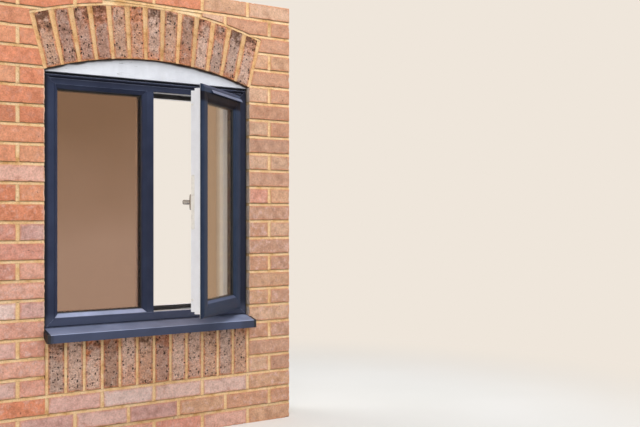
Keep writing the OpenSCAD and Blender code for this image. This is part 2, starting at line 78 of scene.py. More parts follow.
def lattice_noise(points: Array, cell: float, seed: int) -> Array:
    """Smooth noise from -1 to 1.

    Each corner of a cubic lattice has a hashed value. A point takes the blend of its cell's eight corners,
    weighted by the smoothstep of its place in the cell.

    Args:
        points: Places in millimetres, one row each.
        cell: Side of the lattice's cells in millimetres.
        seed: Number that picks the pattern.

    Returns:
        One value for each point.
    """
    scaled = points / cell
    low = np.floor(scaled).astype(np.int64)
    part = scaled - low
    part = part * part * (3 - 2 * part)
    total = np.zeros(len(points))
    for corner in np.ndindex(2, 2, 2):
        spot = low + corner
        key = np.bitwise_xor.reduce(spot * AXIS_KEYS, axis=1) ^ seed * SEED_KEY
        key = ((key ^ (key >> 13)) * FIRST_KEY) & 0xFFFFFFFF
        key = ((key ^ (key >> 16)) * SECOND_KEY) & 0xFFFFFFFF
        value = (key ^ (key >> 15)) / 2**31 - 1
        total += value * np.where(np.array(corner) == 1, part, 1 - part).prod(axis=1)
    return total


def layered_noise(points: Array, cell: float, seed: int, layers: int = 3) -> Array:
    """Sum of lattice noises, each layer with half the cell and half the height of the one before."""
    return sum(lattice_noise(points, cell / 2**k, seed + 17 * k) / 2**k for k in range(layers))


def ease(value: Array, low: float, high: float) -> Array:
    """Smoothstep: 0 below low, 1 above high, and 3t^2 - 2t^3 between them."""
    t = np.clip((value - low) / (high - low), 0, 1)
    return t * t * (3 - 2 * t)


def signed_volume(points: Array, blocks: list[Array]) -> float:
    """Volume inside the faces: the sum of the triple products of each face's fan of triangles, over six.

    Args:
        points: Corners.
        blocks: Faces as arrays of corner numbers.

    Returns:
        The volume, negative where the faces look inwards.
    """
    total = 0.0
    for block in blocks:
        first = points[block[:, 0]]
        for k in range(1, block.shape[1] - 1):
            total += float(np.einsum("ij,ij->", first, np.cross(points[block[:, k]], points[block[:, k + 1]])))
    return total / 6


def still(points: Array) -> Array:
    """Leaves points where they are."""
    return points


@dataclass
class Shell:
    """Closed forms gathered into one mesh, in millimetres, with a finish number, a map and two colours."""

    points: list[Array] = field(default_factory=list)
    corners: list[Array] = field(default_factory=list)
    sizes: list[Array] = field(default_factory=list)
    finishes: list[Array] = field(default_factory=list)
    maps: list[Array] = field(default_factory=list)
    tints: list[Array] = field(default_factory=list)
    marks: list[Array] = field(default_factory=list)
    count: int = 0

    def add(
        self,
        points: Array,
        blocks: list[Array],
        finishes: list[Array | int] | int = 0,
        maps: list[Array | None] | None = None,
        tint: Array | tuple = (1.0, 1.0, 1.0, 1.0),
        mark: Array | tuple = (0.0, 0.0, 0.0, 1.0),
    ) -> None:
        """Adds one closed form and turns its faces outwards by the sign of its volume.

        Args:
            points: Corners in millimetres.
            blocks: Faces as arrays of corner numbers, one array for each number of corners.
            finishes: Finish number for all, or for each block.
            maps: Place on the map in metres for each face corner of each block.
            tint: Own colour, one for all or one for each point.
            mark: Lot, nearness to an edge and amount of bloom, one for all or one for each point.
        """
        turn = -1 if signed_volume(points, blocks) < 0 else 1
        finishes = finishes if isinstance(finishes, list) else [finishes] * len(blocks)
        maps = maps or [None] * len(blocks)
        for block, finish, place in zip(blocks, finishes, maps):
            rows, width = block.shape
            self.corners.append((block[:, ::turn] + self.count).ravel())
            self.sizes.append(np.full(rows, width))
            self.finishes.append(np.broadcast_to(finish, rows))
            self.maps.append(np.zeros((rows * width, 2)) if place is None else place[:, ::turn].reshape(-1, 2))
        self.points.append(points)
        self.tints.append(np.broadcast_to(tint, (len(points), 4)))
        self.marks.append(np.broadcast_to(mark, (len(points), 4)))
        self.count += len(points)

    def lay(self, form: tuple, move: Move = still) -> None:
        """Adds a form as skin or soft_box returns it, with its points moved."""
        points, *rest = form
        self.add(move(points), *rest)

    def piece(
        self, name: str, slot: str, nodes: list[str], finishes: list[bpy.types.Material], flat: bool = True
    ) -> bpy.types.Object:
        """Makes the mesh object, rides it on the wall, hides the CAD nodes that it replaces and logs its triangles.

        Args:
            name: Piece's name.
            slot: Record's material slot; not used.
            nodes: CAD nodes that the piece replaces.
            finishes: Materials by finish number.
            flat: Whether wide faces keep their own normals, as on a drawn or cast form, and only edges look round.

        Returns:
            The object.
        """
        mesh = bpy.data.meshes.new(name)
        points, corners = np.concatenate(self.points) * MM, np.concatenate(self.corners)
        sizes = np.concatenate(self.sizes)
        mesh.vertices.add(len(points))
        mesh.vertices.foreach_set("co", points.astype(np.float32).ravel())
        mesh.loops.add(len(corners))
        mesh.loops.foreach_set("vertex_index", corners.astype(np.int32))
        mesh.polygons.add(len(sizes))
        mesh.polygons.foreach_set("loop_start", np.concatenate(([0], np.cumsum(sizes)[:-1])).astype(np.int32))
        mesh.polygons.foreach_set("material_index", np.concatenate(self.finishes).astype(np.int32))
        mesh.polygons.foreach_set("use_smooth", np.ones(len(sizes), bool))
        mesh.update(calc_edges=True)
        for label, rows in (("tint", self.tints), ("mark", self.marks)):
            layer = mesh.attributes.new(label, "FLOAT_COLOR", "POINT")
            layer.data.foreach_set("color", np.concatenate(rows).astype(np.float32).ravel())
        layer = mesh.uv_layers.new(name="along")
        layer.uv.foreach_set("vector", np.concatenate(self.maps).astype(np.float32).ravel())
        for finish in finishes:
            mesh.materials.append(finish)
        mesh.set_sharp_from_angle(angle=SHARP)
        thing = bpy.data.objects.new(name, mesh)
        bpy.context.scene.collection.objects.link(thing)
        if flat:
            weigh = thing.modifiers.new("wide_faces_first", "WEIGHTED_NORMAL")
            weigh.keep_sharp, weigh.mode, weigh.weight = True, "FACE_AREA", 90
        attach(thing, "root")
        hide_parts(*nodes)
        LOG.info("%s: %d triangles", name, int((sizes - 2).sum()))
        return thing


def skin(rings: Array, finish: Array | int = 0) -> tuple[Array, list[Array], list[Array | int], list[Array | None]]:
    """Joins rings into a closed skin: quads between neighbouring rings and a cap on the first and the last.

    The map runs along the rings' mean distance and across their outline's length.

    Args:
        rings: Rings by points by three coordinates.
        finish: Finish number for all, or for each step round the ring.

    Returns:
        Points, face blocks, finish numbers and maps, as Shell.add takes them.
    """
    count, size, _ = rings.shape
    number = np.arange(count * size).reshape(count, size)
    a, b = number[:-1], number[1:]
    quads = np.stack([a, np.roll(a, -1, 1), np.roll(b, -1, 1), b], -1).reshape(-1, 4)
    along = np.concatenate(([0], np.cumsum(np.linalg.norm(np.diff(rings, axis=0), axis=2).mean(1)))) * MM
    middle = rings[count // 2]
    across = np.concatenate(([0], np.cumsum(np.linalg.norm(np.roll(middle, -1, 0) - middle, axis=1)))) * MM
    s0, t0 = np.meshgrid(along[:-1], across[:-1], indexing="ij")
    s1, t1 = np.meshgrid(along[1:], across[1:], indexing="ij")
    place = np.stack([np.stack([s, t], -1) for s, t in ((s0, t0), (s0, t1), (s1, t1), (s1, t0))], 2).reshape(-1, 4, 2)
    each = np.tile(np.broadcast_to(finish, size), count - 1)
    cap = int(np.atleast_1d(finish)[-1])
    caps = np.stack([number[0][::-1], number[-1]])
    return rings.reshape(-1, 3), [quads, caps], [each, cap], [place, None]


def tray(width: float, height: float, depth: float, cell: float, arris: float) -> tuple[Array, list[Array]]:
    """Closed block with a fine front: a grid over width by height, inset by the arris, and rings behind its border.

    The rings lie a third of the arris back, a whole arris back at full size, 9 mm back, where a smear of mortar
    ends, and at the block's back, which one face closes.

    Args:
        width: Size across.
        height: Size upwards.
        depth: Size from front to back.
        cell: Side of the front's cells.
        arris: Size of the rounded edge.

    Returns:
        Points as across, upwards and backwards, and the face blocks.
    """
    nu, nv = max(2, round(width / cell)), max(2, round(height / cell))
    i, j = np.meshgrid(np.arange(nu + 1), np.arange(nv + 1), indexing="ij")
    number = i * (nv + 1) + j
    border = np.concatenate([number[:-1, 0], number[-1, :-1], number[:0:-1, -1], number[0, :0:-1]])
    share = np.stack([i / nu, j / nv], -1).reshape(-1, 2)
    size = np.array([width, height])
    layers = [(arris, 0.0, number.ravel()), (0.3 * arris, 0.3 * arris, border)]
    layers += [(0.0, back, border) for back in (arris, min(SMEAR_Y, depth / 2), depth)]
    rows = [(inset + share[pick] * (size - 2 * inset), y) for inset, y, pick in layers]
    points = np.concatenate([np.column_stack([flat, np.full(len(flat), y)]) for flat, y in rows])
    front = np.stack([number[:-1, :-1], number[1:, :-1], number[1:, 1:], number[:-1, 1:]], -1).reshape(-1, 4)
    ring, first = len(border), number.size
    loops = [border] + [first + k * ring + np.arange(ring) for k in range(4)]
    sides = [np.stack([np.roll(a, -1), a, b, np.roll(b, -1)], -1) for a, b in zip(loops, loops[1:])]
    return points, [np.concatenate([front, *sides]), loops[-1][None, ::-1]]


def box_skin(steps: tuple[Array, Array, Array]) -> tuple[Array, list[Array]]:
    """Skin of a box on a lattice: six grids at the ends of the three step lists, whose shared corners are merged.

    Args:
        steps: Rising coordinates along X, Y and Z.

    Returns:
        Points and the face blocks.
    """
    counts = [len(s) for s in steps]
    cells = []
    for axis in range(3):
        a, b = [k for k in range(3) if k != axis]
        i, j = np.meshgrid(np.arange(counts[a] - 1), np.arange(counts[b] - 1), indexing="ij")
        for end in (0, counts[axis] - 1):
            quad = np.full((i.size, 4, 3), end)
            for corner, (da, db) in enumerate(((0, 0), (1, 0), (1, 1), (0, 1))):
                quad[:, corner, a] = (i + da).ravel()
                quad[:, corner, b] = (j + db).ravel()
            cells.append(quad[:, ::-1] if (end == 0) == (axis != 1) else quad)
    cell = np.concatenate(cells)
    keys, number = np.unique((cell[..., 0] * counts[1] + cell[..., 1]) * counts[2] + cell[..., 2], return_inverse=True)
    spots = (keys // (counts[1] * counts[2]), keys // counts[2] % counts[1], keys % counts[2])
    return np.column_stack([s[k] for s, k in zip(steps, spots)]), [number.reshape(-1, 4)]


def steps(low: float, high: float, edge: float, cell: float) -> Array:
    """Coordinates from low to high: two close steps over each edge and even ones no longer than cell between."""
    inner = np.linspace(low + edge, high - edge, max(2, math.ceil((high - low - 2 * edge) / cell) + 1))
    return np.concatenate(([low, low + 0.35 * edge], inner, [high - 0.35 * edge, high]))


def soft_box(low: tuple, high: tuple, edge: float, cell: float = 400.0) -> tuple[Array, list[Array]]:
    """Box with rounded edges: each point of its skin is pushed to a sphere of the edge's radius round the core box.

    Args:
        low: Lowest corner.
        high: Highest corner.
        edge: Radius of the edges.
        cell: Longest step of its grid.

    Returns:
        Points and the face blocks.
    """
    low, high = np.array(low, float), np.array(high, float)
    points, blocks = box_skin(tuple(steps(low[k], high[k], edge, cell) for k in range(3)))
    core = np.clip(points, low + edge, high - edge)
    push = points - core
    return core + push * (edge / np.maximum(np.linalg.norm(push, axis=1), 1e-9))[:, None], blocks


def circle(radius: float, count: int = 28) -> Array:
    """Points of a circle as cosine and sine of even angles, times its radius."""
    angle = np.linspace(0, 2 * math.pi, count, endpoint=False)
    return radius * np.column_stack([np.cos(angle), np.sin(angle)])


def layered(layers: list[tuple[Array, float]], axes: tuple[int, int, int] = (0, 1, 2)) -> Array:
    """Rings of flat outlines, each at its own level.

    Args:
        layers: Outline and level, from one end to the other.
        axes: Which of the outline's two coordinates and the level, counted from nought, are X, Y and Z.

    Returns:
        Rings for skin.
    """
    return np.stack([np.column_stack([flat, np.full(len(flat), level)]) for flat, level in layers])[..., axes]


def turned(profile: list[tuple[float, float]], count: int = 28) -> Array:
    """Rings of a turned form: a circle of each radius at each height."""
    return layered([(circle(radius, count), height) for radius, height in profile])


def rectangle(low: tuple[float, float], high: tuple[float, float], count: int) -> Array:
    """Outline of a rectangle, with each side in even steps.

    Args:
        low: Lowest corner.
        high: Highest corner.
        count: Steps on each side.

    Returns:
        Its points.
    """
    corners = np.array([low, (high[0], low[1]), high, (low[0], high[1])], float)
    share = np.arange(count)[:, None, None] / count
    return (corners + share * (np.roll(corners, -1, 0) - corners)).transpose(1, 0, 2).reshape(-1, 2)


def stadium(length: float, width: float, count: int = 10) -> Array:
    """Outline of a bar with round ends: half circles of half the width about 0 and length on the X axis.

    Args:
        length: Distance between the half circles' middles.
        width: Bar's width.
        count: Points on each half circle.

    Returns:
        Its points.
    """
    half = np.linspace(-math.pi / 2, math.pi / 2, count)
    right = np.column_stack([length + width / 2 * np.cos(half), width / 2 * np.sin(half)])
    left = np.column_stack([-width / 2 * np.cos(half), -width / 2 * np.sin(half)])
    return np.concatenate([right, left])


def plate(outline: Array, low: float, high: float, edge: float) -> Array:
    """Rings of a flat plate with eased edges: the outline shrunk by the edge, at full size twice, and shrunk again.

    Args:
        outline: Plate's outline.
        low: Lower face's level.
        high: Upper face's level.
        edge: Size of the eased edges.

    Returns:
        Rings for skin.
    """
    middle = outline.mean(0)
    away = outline - middle
    small = middle + away * (1 - edge / np.maximum(np.linalg.norm(away, axis=1), edge * 1.5))[:, None]
    return layered([(small, low), (outline, low + edge), (outline, high - edge), (small, high)])


@dataclass(frozen=True)
class Profile:
    """Closed section of a bar: corners as distance inwards and depth, each with a radius and its next edge's finish.

    Without finishes, every edge has the first one.
    """

    corners: tuple[tuple[float, float], ...]
    radii: tuple[float, ...]
    finishes: tuple[int, ...] = ()

    def outline(self, parts: int = 3) -> tuple[Array, Array]:
        """Rounds each corner with the curve (1-t)^2 a + 2t(1-t) p + t^2 b between points a and b on its two edges.

        Args:
            parts: Steps on each corner.

        Returns:
            Points of the outline and a finish number for the step after each of them.
        """
        p = np.array(self.corners, float)
        back, ahead = np.roll(p, 1, 0) - p, np.roll(p, -1, 0) - p
        long_back, long_ahead = (np.maximum(np.linalg.norm(edge, axis=1), 1e-6) for edge in (back, ahead))
        cut = np.minimum(np.maximum(self.radii, 0.15), 0.45 * np.minimum(long_back, long_ahead))[:, None]
        a, b = p + back / long_back[:, None] * cut, p + ahead / long_ahead[:, None] * cut
        t = np.linspace(0, 1, parts + 1)[:, None, None]
        curve = (1 - t) ** 2 * a + 2 * t * (1 - t) * p + t**2 * b
        own = np.array(self.finishes or (0,) * len(p))
        finish = np.stack([np.roll(own, 1)] * parts + [own])
        return curve.transpose(1, 0, 2).reshape(-1, 2), finish.T.ravel()


class Side(Enum):
    """Sides of a mitred rectangle: start corner as shares of its size, direction inwards, direction along."""

    LEFT = ((0, 0), (1, 0), (0, 1))
    RIGHT = ((1, 1), (-1, 0), (0, -1))
    BOTTOM = ((1, 0), (0, 1), (-1, 0))
    TOP = ((0, 1), (0, -1), (1, 0))

    def length(self, width: float, height: float) -> float:
        """Length of the bar on this side."""
        return height if self in (Side.LEFT, Side.RIGHT) else width

    def place(self, width: float, height: float, inward: Array, along: Array, depth: Array) -> Array:
        """Start corner plus the distances inwards and along it, with the depth as Y.

        Args:
            width: Rectangle's width.
            height: Rectangle's height.
            inward: Distances from the side.
            along: Distances along it.
            depth: Distances behind the face.

        Returns:
            Points in X, Y and Z.
        """
        corner, to_middle, ahead = self.value
        x = corner[0] * width + inward * to_middle[0] + along * ahead[0]
        return np.stack([x, depth, corner[1] * height + inward * to_middle[1] + along * ahead[1]], -1)


@dataclass(frozen=True)
class MitredBar:
    """Bar of a welded frame, cut at 45 degrees at both ends, with the fine sunk line that a trimmed weld leaves."""

    profile: Profile
    notch: Profile | None = None
    notch_from: float = 0.0
    weld: float = 0.35

    def skin(self, side: Side, width: float, height: float) -> tuple:
        """Skin of the bar on one side of a rectangle.

        The end rings lie where the distance along equals the distance inwards, drawn in by the weld's depth, and
        the next ones 0.4 mm further. A notched bar changes section at notch_from and back before its other end.

        Args:
            side: Which side of the rectangle.
            width: Rectangle's width.
            height: Rectangle's height.

        Returns:
            What Shell.add takes.
        """
        outline, finish = self.profile.outline()
        length = side.length(width, height)
        to_middle = outline.mean(0) - outline
        sunk = outline + to_middle * (self.weld / np.linalg.norm(to_middle, axis=1))[:, None]
        rows = [(sunk, outline[:, 0]), (outline, outline[:, 0] + 0.4)]
        if self.notch:
            cut, _ = self.notch.outline()
            start, begin = (np.maximum(self.notch_from, p[:, 0] + 0.6) for p in (outline, cut))
            rows += [(outline, start - 0.1), (cut, begin), (cut, length - begin), (outline, length - start + 0.1)]
        rows += [(outline, length - outline[:, 0] - 0.4), (sunk, length - outline[:, 0])]
        rings = [side.place(width, height, p[:, 0], np.broadcast_to(s, len(p)), p[:, 1]) for p, s in rows]
        return skin(np.stack(rings), finish)


def mitred(shell: Shell, bars: list[MitredBar], width: float, height: float, move: Move) -> None:
    """Adds bars on all four sides of a rectangle.

    Args:
        shell: Where they go.
        bars: Bars that lie side by side.
        width: Rectangle's width.
        height: Rectangle's height.
        move: Takes points from the rectangle to their place.
    """
    for side in Side:
        for bar in bars:
            shell.lay(bar.skin(side, width, height), move)


def single_bars(
    bars: dict[str, tuple[Side, MitredBar]], width: float, height: float, move: Move, looks: list[bpy.types.Material]
) -> None:
    """Makes each bar of a rectangle a piece of its own.

    Args:
        bars: Side and bar by CAD node.
        width: Rectangle's width.
        height: Rectangle's height.
        move: Takes points from the rectangle to their place.
        looks: Materials by finish number.
    """
    for node, (side, bar) in bars.items():
        shell = Shell()
        shell.lay(bar.skin(side, width, height), move)
        shell.piece(node + "_bar", "anthracite_upvc", [node], looks)


def add(
    tree: Tree, kind: str, links: dict | list | tuple = (), stops: list | None = None, **settings: object
) -> bpy.types.Node:
    """Adds one shader node.

    Args:
        tree: Node tree it goes into.
        kind: Node's type without its common prefix.
        links: Inputs in their order, or by name or number. Each is a value, a hex colour, the output that feeds it,
            or a node for its main output.
        stops: Places and hex colours of a colour ramp.
        settings: The node's own settings.

    Returns:
        The node.
    """
    node = tree.nodes.new("ShaderNode" + kind)
    if kind == "Mix":
        node.data_type = "RGBA"
    for key, value in settings.items():
        setattr(node, key, value)
    if stops:
        ends = node.color_ramp.elements
        ends[0].position, ends[0].color = stops[0][0], linear(stops[0][1])
        ends[1].position, ends[1].color = stops[-1][0], linear(stops[-1][1])
        for place, code in stops[1:-1]:
            ends.new(place).color = linear(code)
    for key, value in links.items() if isinstance(links, dict) else enumerate(links):
        if isinstance(value, bpy.types.Node):
            value = value.outputs[2 if value.bl_idname == "ShaderNodeMix" else 0]
        if isinstance(value, bpy.types.NodeSocket):
            tree.links.new(value, node.inputs[key])
        else:
            node.inputs[key].default_value = linear(value) if isinstance(value, str) else value
    return node


def seen_rays(tree: Tree) -> bpy.types.Node:
    """Adds what tells the rays of the camera, of gloss and through glass from all others.

    Args:
        tree: Node tree it goes into.

    Returns:
        The node that is one for those three kinds of ray and nought for the rest.
    """
    path = add(tree, "LightPath")
    rays = add(tree, "Math", [path.outputs["Is Camera Ray"], path.outputs["Is Glossy Ray"]], operation="MAXIMUM")
    return add(tree, "Math", [rays, path.outputs["Is Transmission Ray"]], operation="MAXIMUM")


@dataclass(frozen=True)
class Finish:
    """A real material, named for what it is and how its surface was made. A noise's scale is 1000 over its mm."""

    name: str

    def surface(self, tree: Tree) -> dict:
        """Inputs of the main shader by name."""
        return {}

    def shader(self, tree: Tree) -> bpy.types.Node:
        """The main shader with its surface's inputs."""
        return add(tree, "BsdfPrincipled", self.surface(tree))

    def make(self) -> bpy.types.Material:
        """Builds the material round its shader.

        Returns:
            The material.
        """
        material = bpy.data.materials.new(self.name)
        material.use_nodes = True
        tree = material.node_tree
        tree.nodes.clear()
        add(tree, "OutputMaterial", {"Surface": self.shader(tree)})
        return material


def painted_under_shade(tree: Tree, colour: Feed) -> bpy.types.Node:
    """Darkens what faces down, soffits and lower arrises, as a painted shade where less light falls.

    Args:
        tree: Material's node tree.
        colour: Colour so far.

    Returns:
        The node with the darkened colour.
    """
    # Painted shade: faces that look down turn dark brown
    facing = add(tree, "SeparateXYZ", [add(tree, "NewGeometry").outputs["Normal"]])
    share = add(tree, "MapRange", [facing.outputs[2], -0.25, -0.85, 0.0, 0.8])
    return add(tree, "Mix", {0: share, 6: colour, 7: "#40291c"})


@dataclass(frozen=True)
class FiredClay(Finish):
    """Kiln-fired facing brick: each has its own colour, clouded by the fire, with paler bloom and burnt specks."""

    bloom: str = "#dfb9ad"
    burnt: str = "#a8614a"
    speck: str = "#6a4636"
    edge: str = "#d4875f"
    cloud_mm: float = 42.0
    patch_mm: float = 22.0
    speck_mm: float = 17.0
    edge_share: float = 0.5
    speck_share: float = 0.3
    speck_reach: float = 0.17
    burnt_share: float = 0.4
    mottle: float = 0.2

    def surface(self, tree: Tree) -> dict:
        """Own colour, times clouds, with patches of bloom and burning, specks, an edge colour, a sanded grain
        and painted shade on what faces down.

        Args:
            tree: Material's node tree.

        Returns:
            Inputs of the main shader by name.
        """
        spot = add(tree, "TexCoord").outputs["Object"]
        tint = add(tree, "Attribute", attribute_name="tint").outputs["Color"]
        mark = add(tree, "Attribute", attribute_name="mark")
        parts = add(tree, "SeparateColor", [mark.outputs["Color"]])
        shift = add(tree, "VectorMath", [mark.outputs["Vector"], (9.0, 0.0, 0.0)], operation="MULTIPLY")
        lot = add(tree, "VectorMath", [shift, spot])
        cloud = add(tree, "TexNoise", {"Vector": lot, "Scale": 1000 / self.cloud_mm, "Detail": 3.0, "Roughness": 0.6})
        shade = add(tree, "ValToRGB", [cloud], stops=[(0.3, "#dcd6d3"), (0.5, "#f4f2f1"), (0.7, "#ffffff")])
        base = add(tree, "Mix", {0: 1.0, 6: tint, 7: shade}, blend_type="MULTIPLY")
        patch = add(tree, "TexNoise", {"Vector": lot, "Scale": 1000 / self.patch_mm, "Detail": 5.0, "Roughness": 0.66})
        pale = add(tree, "MapRange", [patch, 0.5, 0.68, 0.0, 1.0])
        amount = add(tree, "Math", [pale, parts.outputs[2]], operation="MULTIPLY")
        bloomed = add(tree, "Mix", {0: amount, 6: base, 7: self.bloom})
        rim_noise = add(tree, "TexNoise", {"Vector": lot, "Scale": 1000 / 30.0, "Detail": 3.0})
        rim = add(tree, "Math", [parts.outputs[1], rim_noise, -0.12], operation="MULTIPLY_ADD")
        rimmed = add(tree, "MapRange", [rim, 0.03, 0.36, 0.0, self.edge_share])
        edged = add(tree, "Mix", {0: rimmed, 6: bloomed, 7: self.edge})
        # Burnt colour where the mark's alpha is high. Smoke gives it, and on the soldiers under the sill it also paints
        # the sill's shade
        smoke_and_shade = add(tree, "Math", [mark.outputs["Alpha"], -0.22, patch], operation="MULTIPLY_ADD")
        fire = add(tree, "MapRange", [smoke_and_shade, 0.45, 0.27, 0.0, self.burnt_share])
        fired = add(tree, "Mix", {0: fire, 6: edged, 7: self.burnt})
        ragged = add(tree, "TexNoise", {"Vector": lot, "Scale": 1000 / 5.0, "Detail": 2.0})
        torn = add(tree, "VectorMath", [ragged.outputs["Color"], (0.014,) * 3, lot], operation="MULTIPLY_ADD")
        grit = add(tree, "TexVoronoi", {"Vector": torn, "Scale": 1000 / self.speck_mm, "Randomness": 1.0})
        pick = add(tree, "SeparateColor", [grit.outputs["Color"]])
        some = add(tree, "MapRange", [pick, 1 - self.speck_share, 1.0, 0.0, self.speck_reach])
        inside = add(tree, "Math", [some, grit.outputs["Distance"]], operation="SUBTRACT")
        dots = add(tree, "MapRange", [inside, -0.01, 0.05, 0.0, 0.92])
        specked = add(tree, "Mix", {0: dots, 6: fired, 7: self.speck})
        fine = add(tree, "TexNoise", {"Vector": lot, "Scale": 1000 / 6.0, "Detail": 3.0, "Roughness": 0.7})
        flecks = add(tree, "MapRange", [fine, 0.35, 0.65, 1 - self.mottle, 1 + self.mottle / 2])
        flecked = add(tree, "VectorMath", {0: specked, 3: flecks}, operation="SCALE")
        wiped = add(tree, "Math", [rim_noise, 0.34, parts.outputs[1]], operation="MULTIPLY_ADD")
        smear = add(tree, "MapRange", [wiped, 1.07, 1.17, 0.0, 0.8])
        pointed = add(tree, "Mix", {0: smear, 6: flecked, 7: "#ddb482"})
        # Painted shade on the brick's faces that look down
        colour = painted_under_shade(tree, pointed)
        pit = add(tree, "Math", [patch, fine], operation="ADD")
        sunk = add(tree, "Math", [dots, -0.9, pit], operation="MULTIPLY_ADD")
        relief = add(tree, "Bump", {"Height": sunk, "Distance": 0.0012, "Strength": 0.85})
        return {"Base Color": colour, "Roughness": 0.9, "Specular IOR Level": 0.25, "Normal": relief}


@dataclass(frozen=True)
class SandMortar(Finish):
    """Lime and sand mortar: buff, gritty, with darker damp stains and small holes where the joint was struck."""

    colour: str = "#f6cd99"
    stain: str = "#d6a268"
    pale: str = "#fee0b6"

    def surface(self, tree: Tree) -> dict:
        """Buff clouded to pale and to stain, with dark pits, a dark line along its deep edge that paints the shade
        under the brick above with some dirt, painted shade on what faces down and a grain of coarse sand.

        Args:
            tree: Material's node tree.

        Returns:
            Inputs of the main shader by name.
        """
        spot = add(tree, "TexCoord").outputs["Object"]
        cloud = add(tree, "TexNoise", {"Vector": spot, "Scale": 1000 / 55.0, "Detail": 4.0, "Roughness": 0.65})
        base = add(tree, "ValToRGB", [cloud], stops=[(0.3, self.stain), (0.47, self.colour), (0.7, self.pale)])
        pits = add(tree, "TexNoise", {"Vector": spot, "Scale": 1000 / 9.0, "Detail": 3.0, "Roughness": 0.7})
        hole = add(tree, "MapRange", [pits, 0.37, 0.28, 0.0, 0.8])
        dark = add(tree, "Mix", {0: hole, 6: base, 7: "#7d5a3a"})
        # Dark line along the joint's deep edge: painted shade under the brick above, with some dirt
        depth = add(tree, "Attribute", attribute_name="mark").outputs["Alpha"]
        shade_and_grime = add(tree, "Math", [cloud, 1.5, -0.1], operation="MULTIPLY_ADD")
        line = add(tree, "Math", [depth, shade_and_grime], operation="MULTIPLY")
        lined = add(tree, "Mix", {0: line, 6: dark, 7: "#6e4c2c"})
        own = add(tree, "Attribute", attribute_name="tint").outputs["Color"]
        toned = add(tree, "Mix", {0: 1.0, 6: lined, 7: own}, blend_type="MULTIPLY")
        sand = add(tree, "TexNoise", {"Vector": spot, "Scale": 1000 / 2.0, "Detail": 2.0})
        grain = add(tree, "ValToRGB", [sand], stops=[(0.3, "#d2ccc4"), (0.6, "#ffffff")])
        gritty = add(tree, "Mix", {0: 1.0, 6: toned, 7: grain}, blend_type="MULTIPLY")
        # Painted shade on the joint's faces that look down
        colour = painted_under_shade(tree, gritty)
        sunk = add(tree, "Math", [hole, -1.5, sand], operation="MULTIPLY_ADD")
        relief = add(tree, "Bump", {"Height": sunk, "Distance": 0.0011, "Strength": 0.9})
        return {"Base Color": colour, "Roughness": 0.95, "Specular IOR Level": 0.15, "Normal": relief}


@dataclass(frozen=True)
class Shade:
    """A zone of another colour across one axis, used to paint shade, light and the view through glass: it grows from
    one place to another, in metres, and ends at a third.
    """

    axis: int
    grows: tuple[float, float]
    ends: float | None = None
    share: float = 0.5
    colour: str = "#15141c"

    def laid(self, tree: Tree, colour: Feed) -> bpy.types.Node:
        """Mixes the zone's colour over a colour.

        Args:
            tree: Material's node tree.
            colour: Colour so far.

        Returns:
            The node with the zone laid on.
        """
        place = add(tree, "SeparateXYZ", [add(tree, "TexCoord").outputs["Object"]]).outputs[self.axis]
        start, full = self.grows
        share = add(tree, "MapRange", [place, start, full, 0.0, self.share], interpolation_type="SMOOTHSTEP")
        if self.ends is not None:
            rest = add(tree, "MapRange", [place, self.ends - 0.001, self.ends + 0.001, 1.0, 0.0])
            share = add(tree, "Math", [share, rest], operation="MULTIPLY")
        return add(tree, "Mix", {0: share, 6: colour, 7: self.colour})


@dataclass(frozen=True)
class FoiledPlastic(Finish):
    """Anthracite foil laminated on extruded window plastic: satin, with an embossed grain that runs along the bar."""

    colour: str = "#2d344a"
    light: str = "#373f57"
    sheen_and_dust: str = "#bcc6e8"
    specular: float = 0.12
    shades: tuple[Shade, ...] = (
        # Painted shade beside the left reveal, painted shadow of the open casement on the right jamb, painted shade at
        # the head
        Shade(0, (-0.434, -0.447), share=0.75),
        Shade(0, (0.375, 0.405), share=0.6),
        Shade(2, (1.42, 1.465), share=0.5),
        # Painted light off the sill on what stands near the foot
        Shade(2, (0.545, 0.505), share=0.14, colour="#8b93b0"),
    )

    def surface(self, tree: Tree) -> dict:
        """Dark blue-grey, with a painted sky sheen and some dust where it faces up, brightest on sloped faces and
        arrises, over a grain 0.8 mm wide and 25 mm long.

        Its default shades are painted shade beside the left reveal, a painted shadow of the open casement on the right
        jamb, painted shade under the infill at the head, and painted light off the sill near the foot.

        Args:
            tree: Material's node tree.

        Returns:
            Inputs of the main shader by name.
        """
        spot = add(tree, "TexCoord")
        dust = add(tree, "TexNoise", {"Vector": spot.outputs["Object"], "Scale": 1000 / 90.0, "Detail": 5.0})
        clean = add(tree, "ValToRGB", [dust], stops=[(0.35, self.colour), (0.75, self.light)])
        facing = add(tree, "SeparateXYZ", [add(tree, "NewGeometry").outputs["Normal"]])
        # Painted sky sheen with some dust: brightest on sloped faces and arrises, less on flat tops
        sky_sheen = add(
            tree, "ValToRGB", [facing.outputs[2]], stops=[(0.25, "#000000"), (0.56, "#f4f4f4"), (0.78, "#a2a2a2")]
        )
        patchy = add(tree, "Math", [dust, 0.5], operation="ADD")
        layer = add(tree, "Math", [patchy, sky_sheen], operation="MULTIPLY")
        dirty = clean
        for shade in self.shades:
            dirty = shade.laid(tree, dirty)
        base = add(tree, "Mix", {0: layer, 6: dirty, 7: self.sheen_and_dust})
        along = add(tree, "VectorMath", [spot.outputs["UV"], (40.0, 1250.0, 1.0)], operation="MULTIPLY")
        grain = add(tree, "TexNoise", {"Vector": along, "Scale": 1.0, "Detail": 2.0, "Distortion": 0.4})
        relief = add(tree, "Bump", {"Height": grain, "Distance": 0.0001, "Strength": 0.5})
        gloss = add(tree, "MapRange", [dust, 0.3, 0.7, 0.33, 0.45])
        return {
            "Base Color": base,
            "Roughness": gloss,
            "IOR": 1.49,
            "Specular IOR Level": self.specular,
            "Normal": relief,
        }


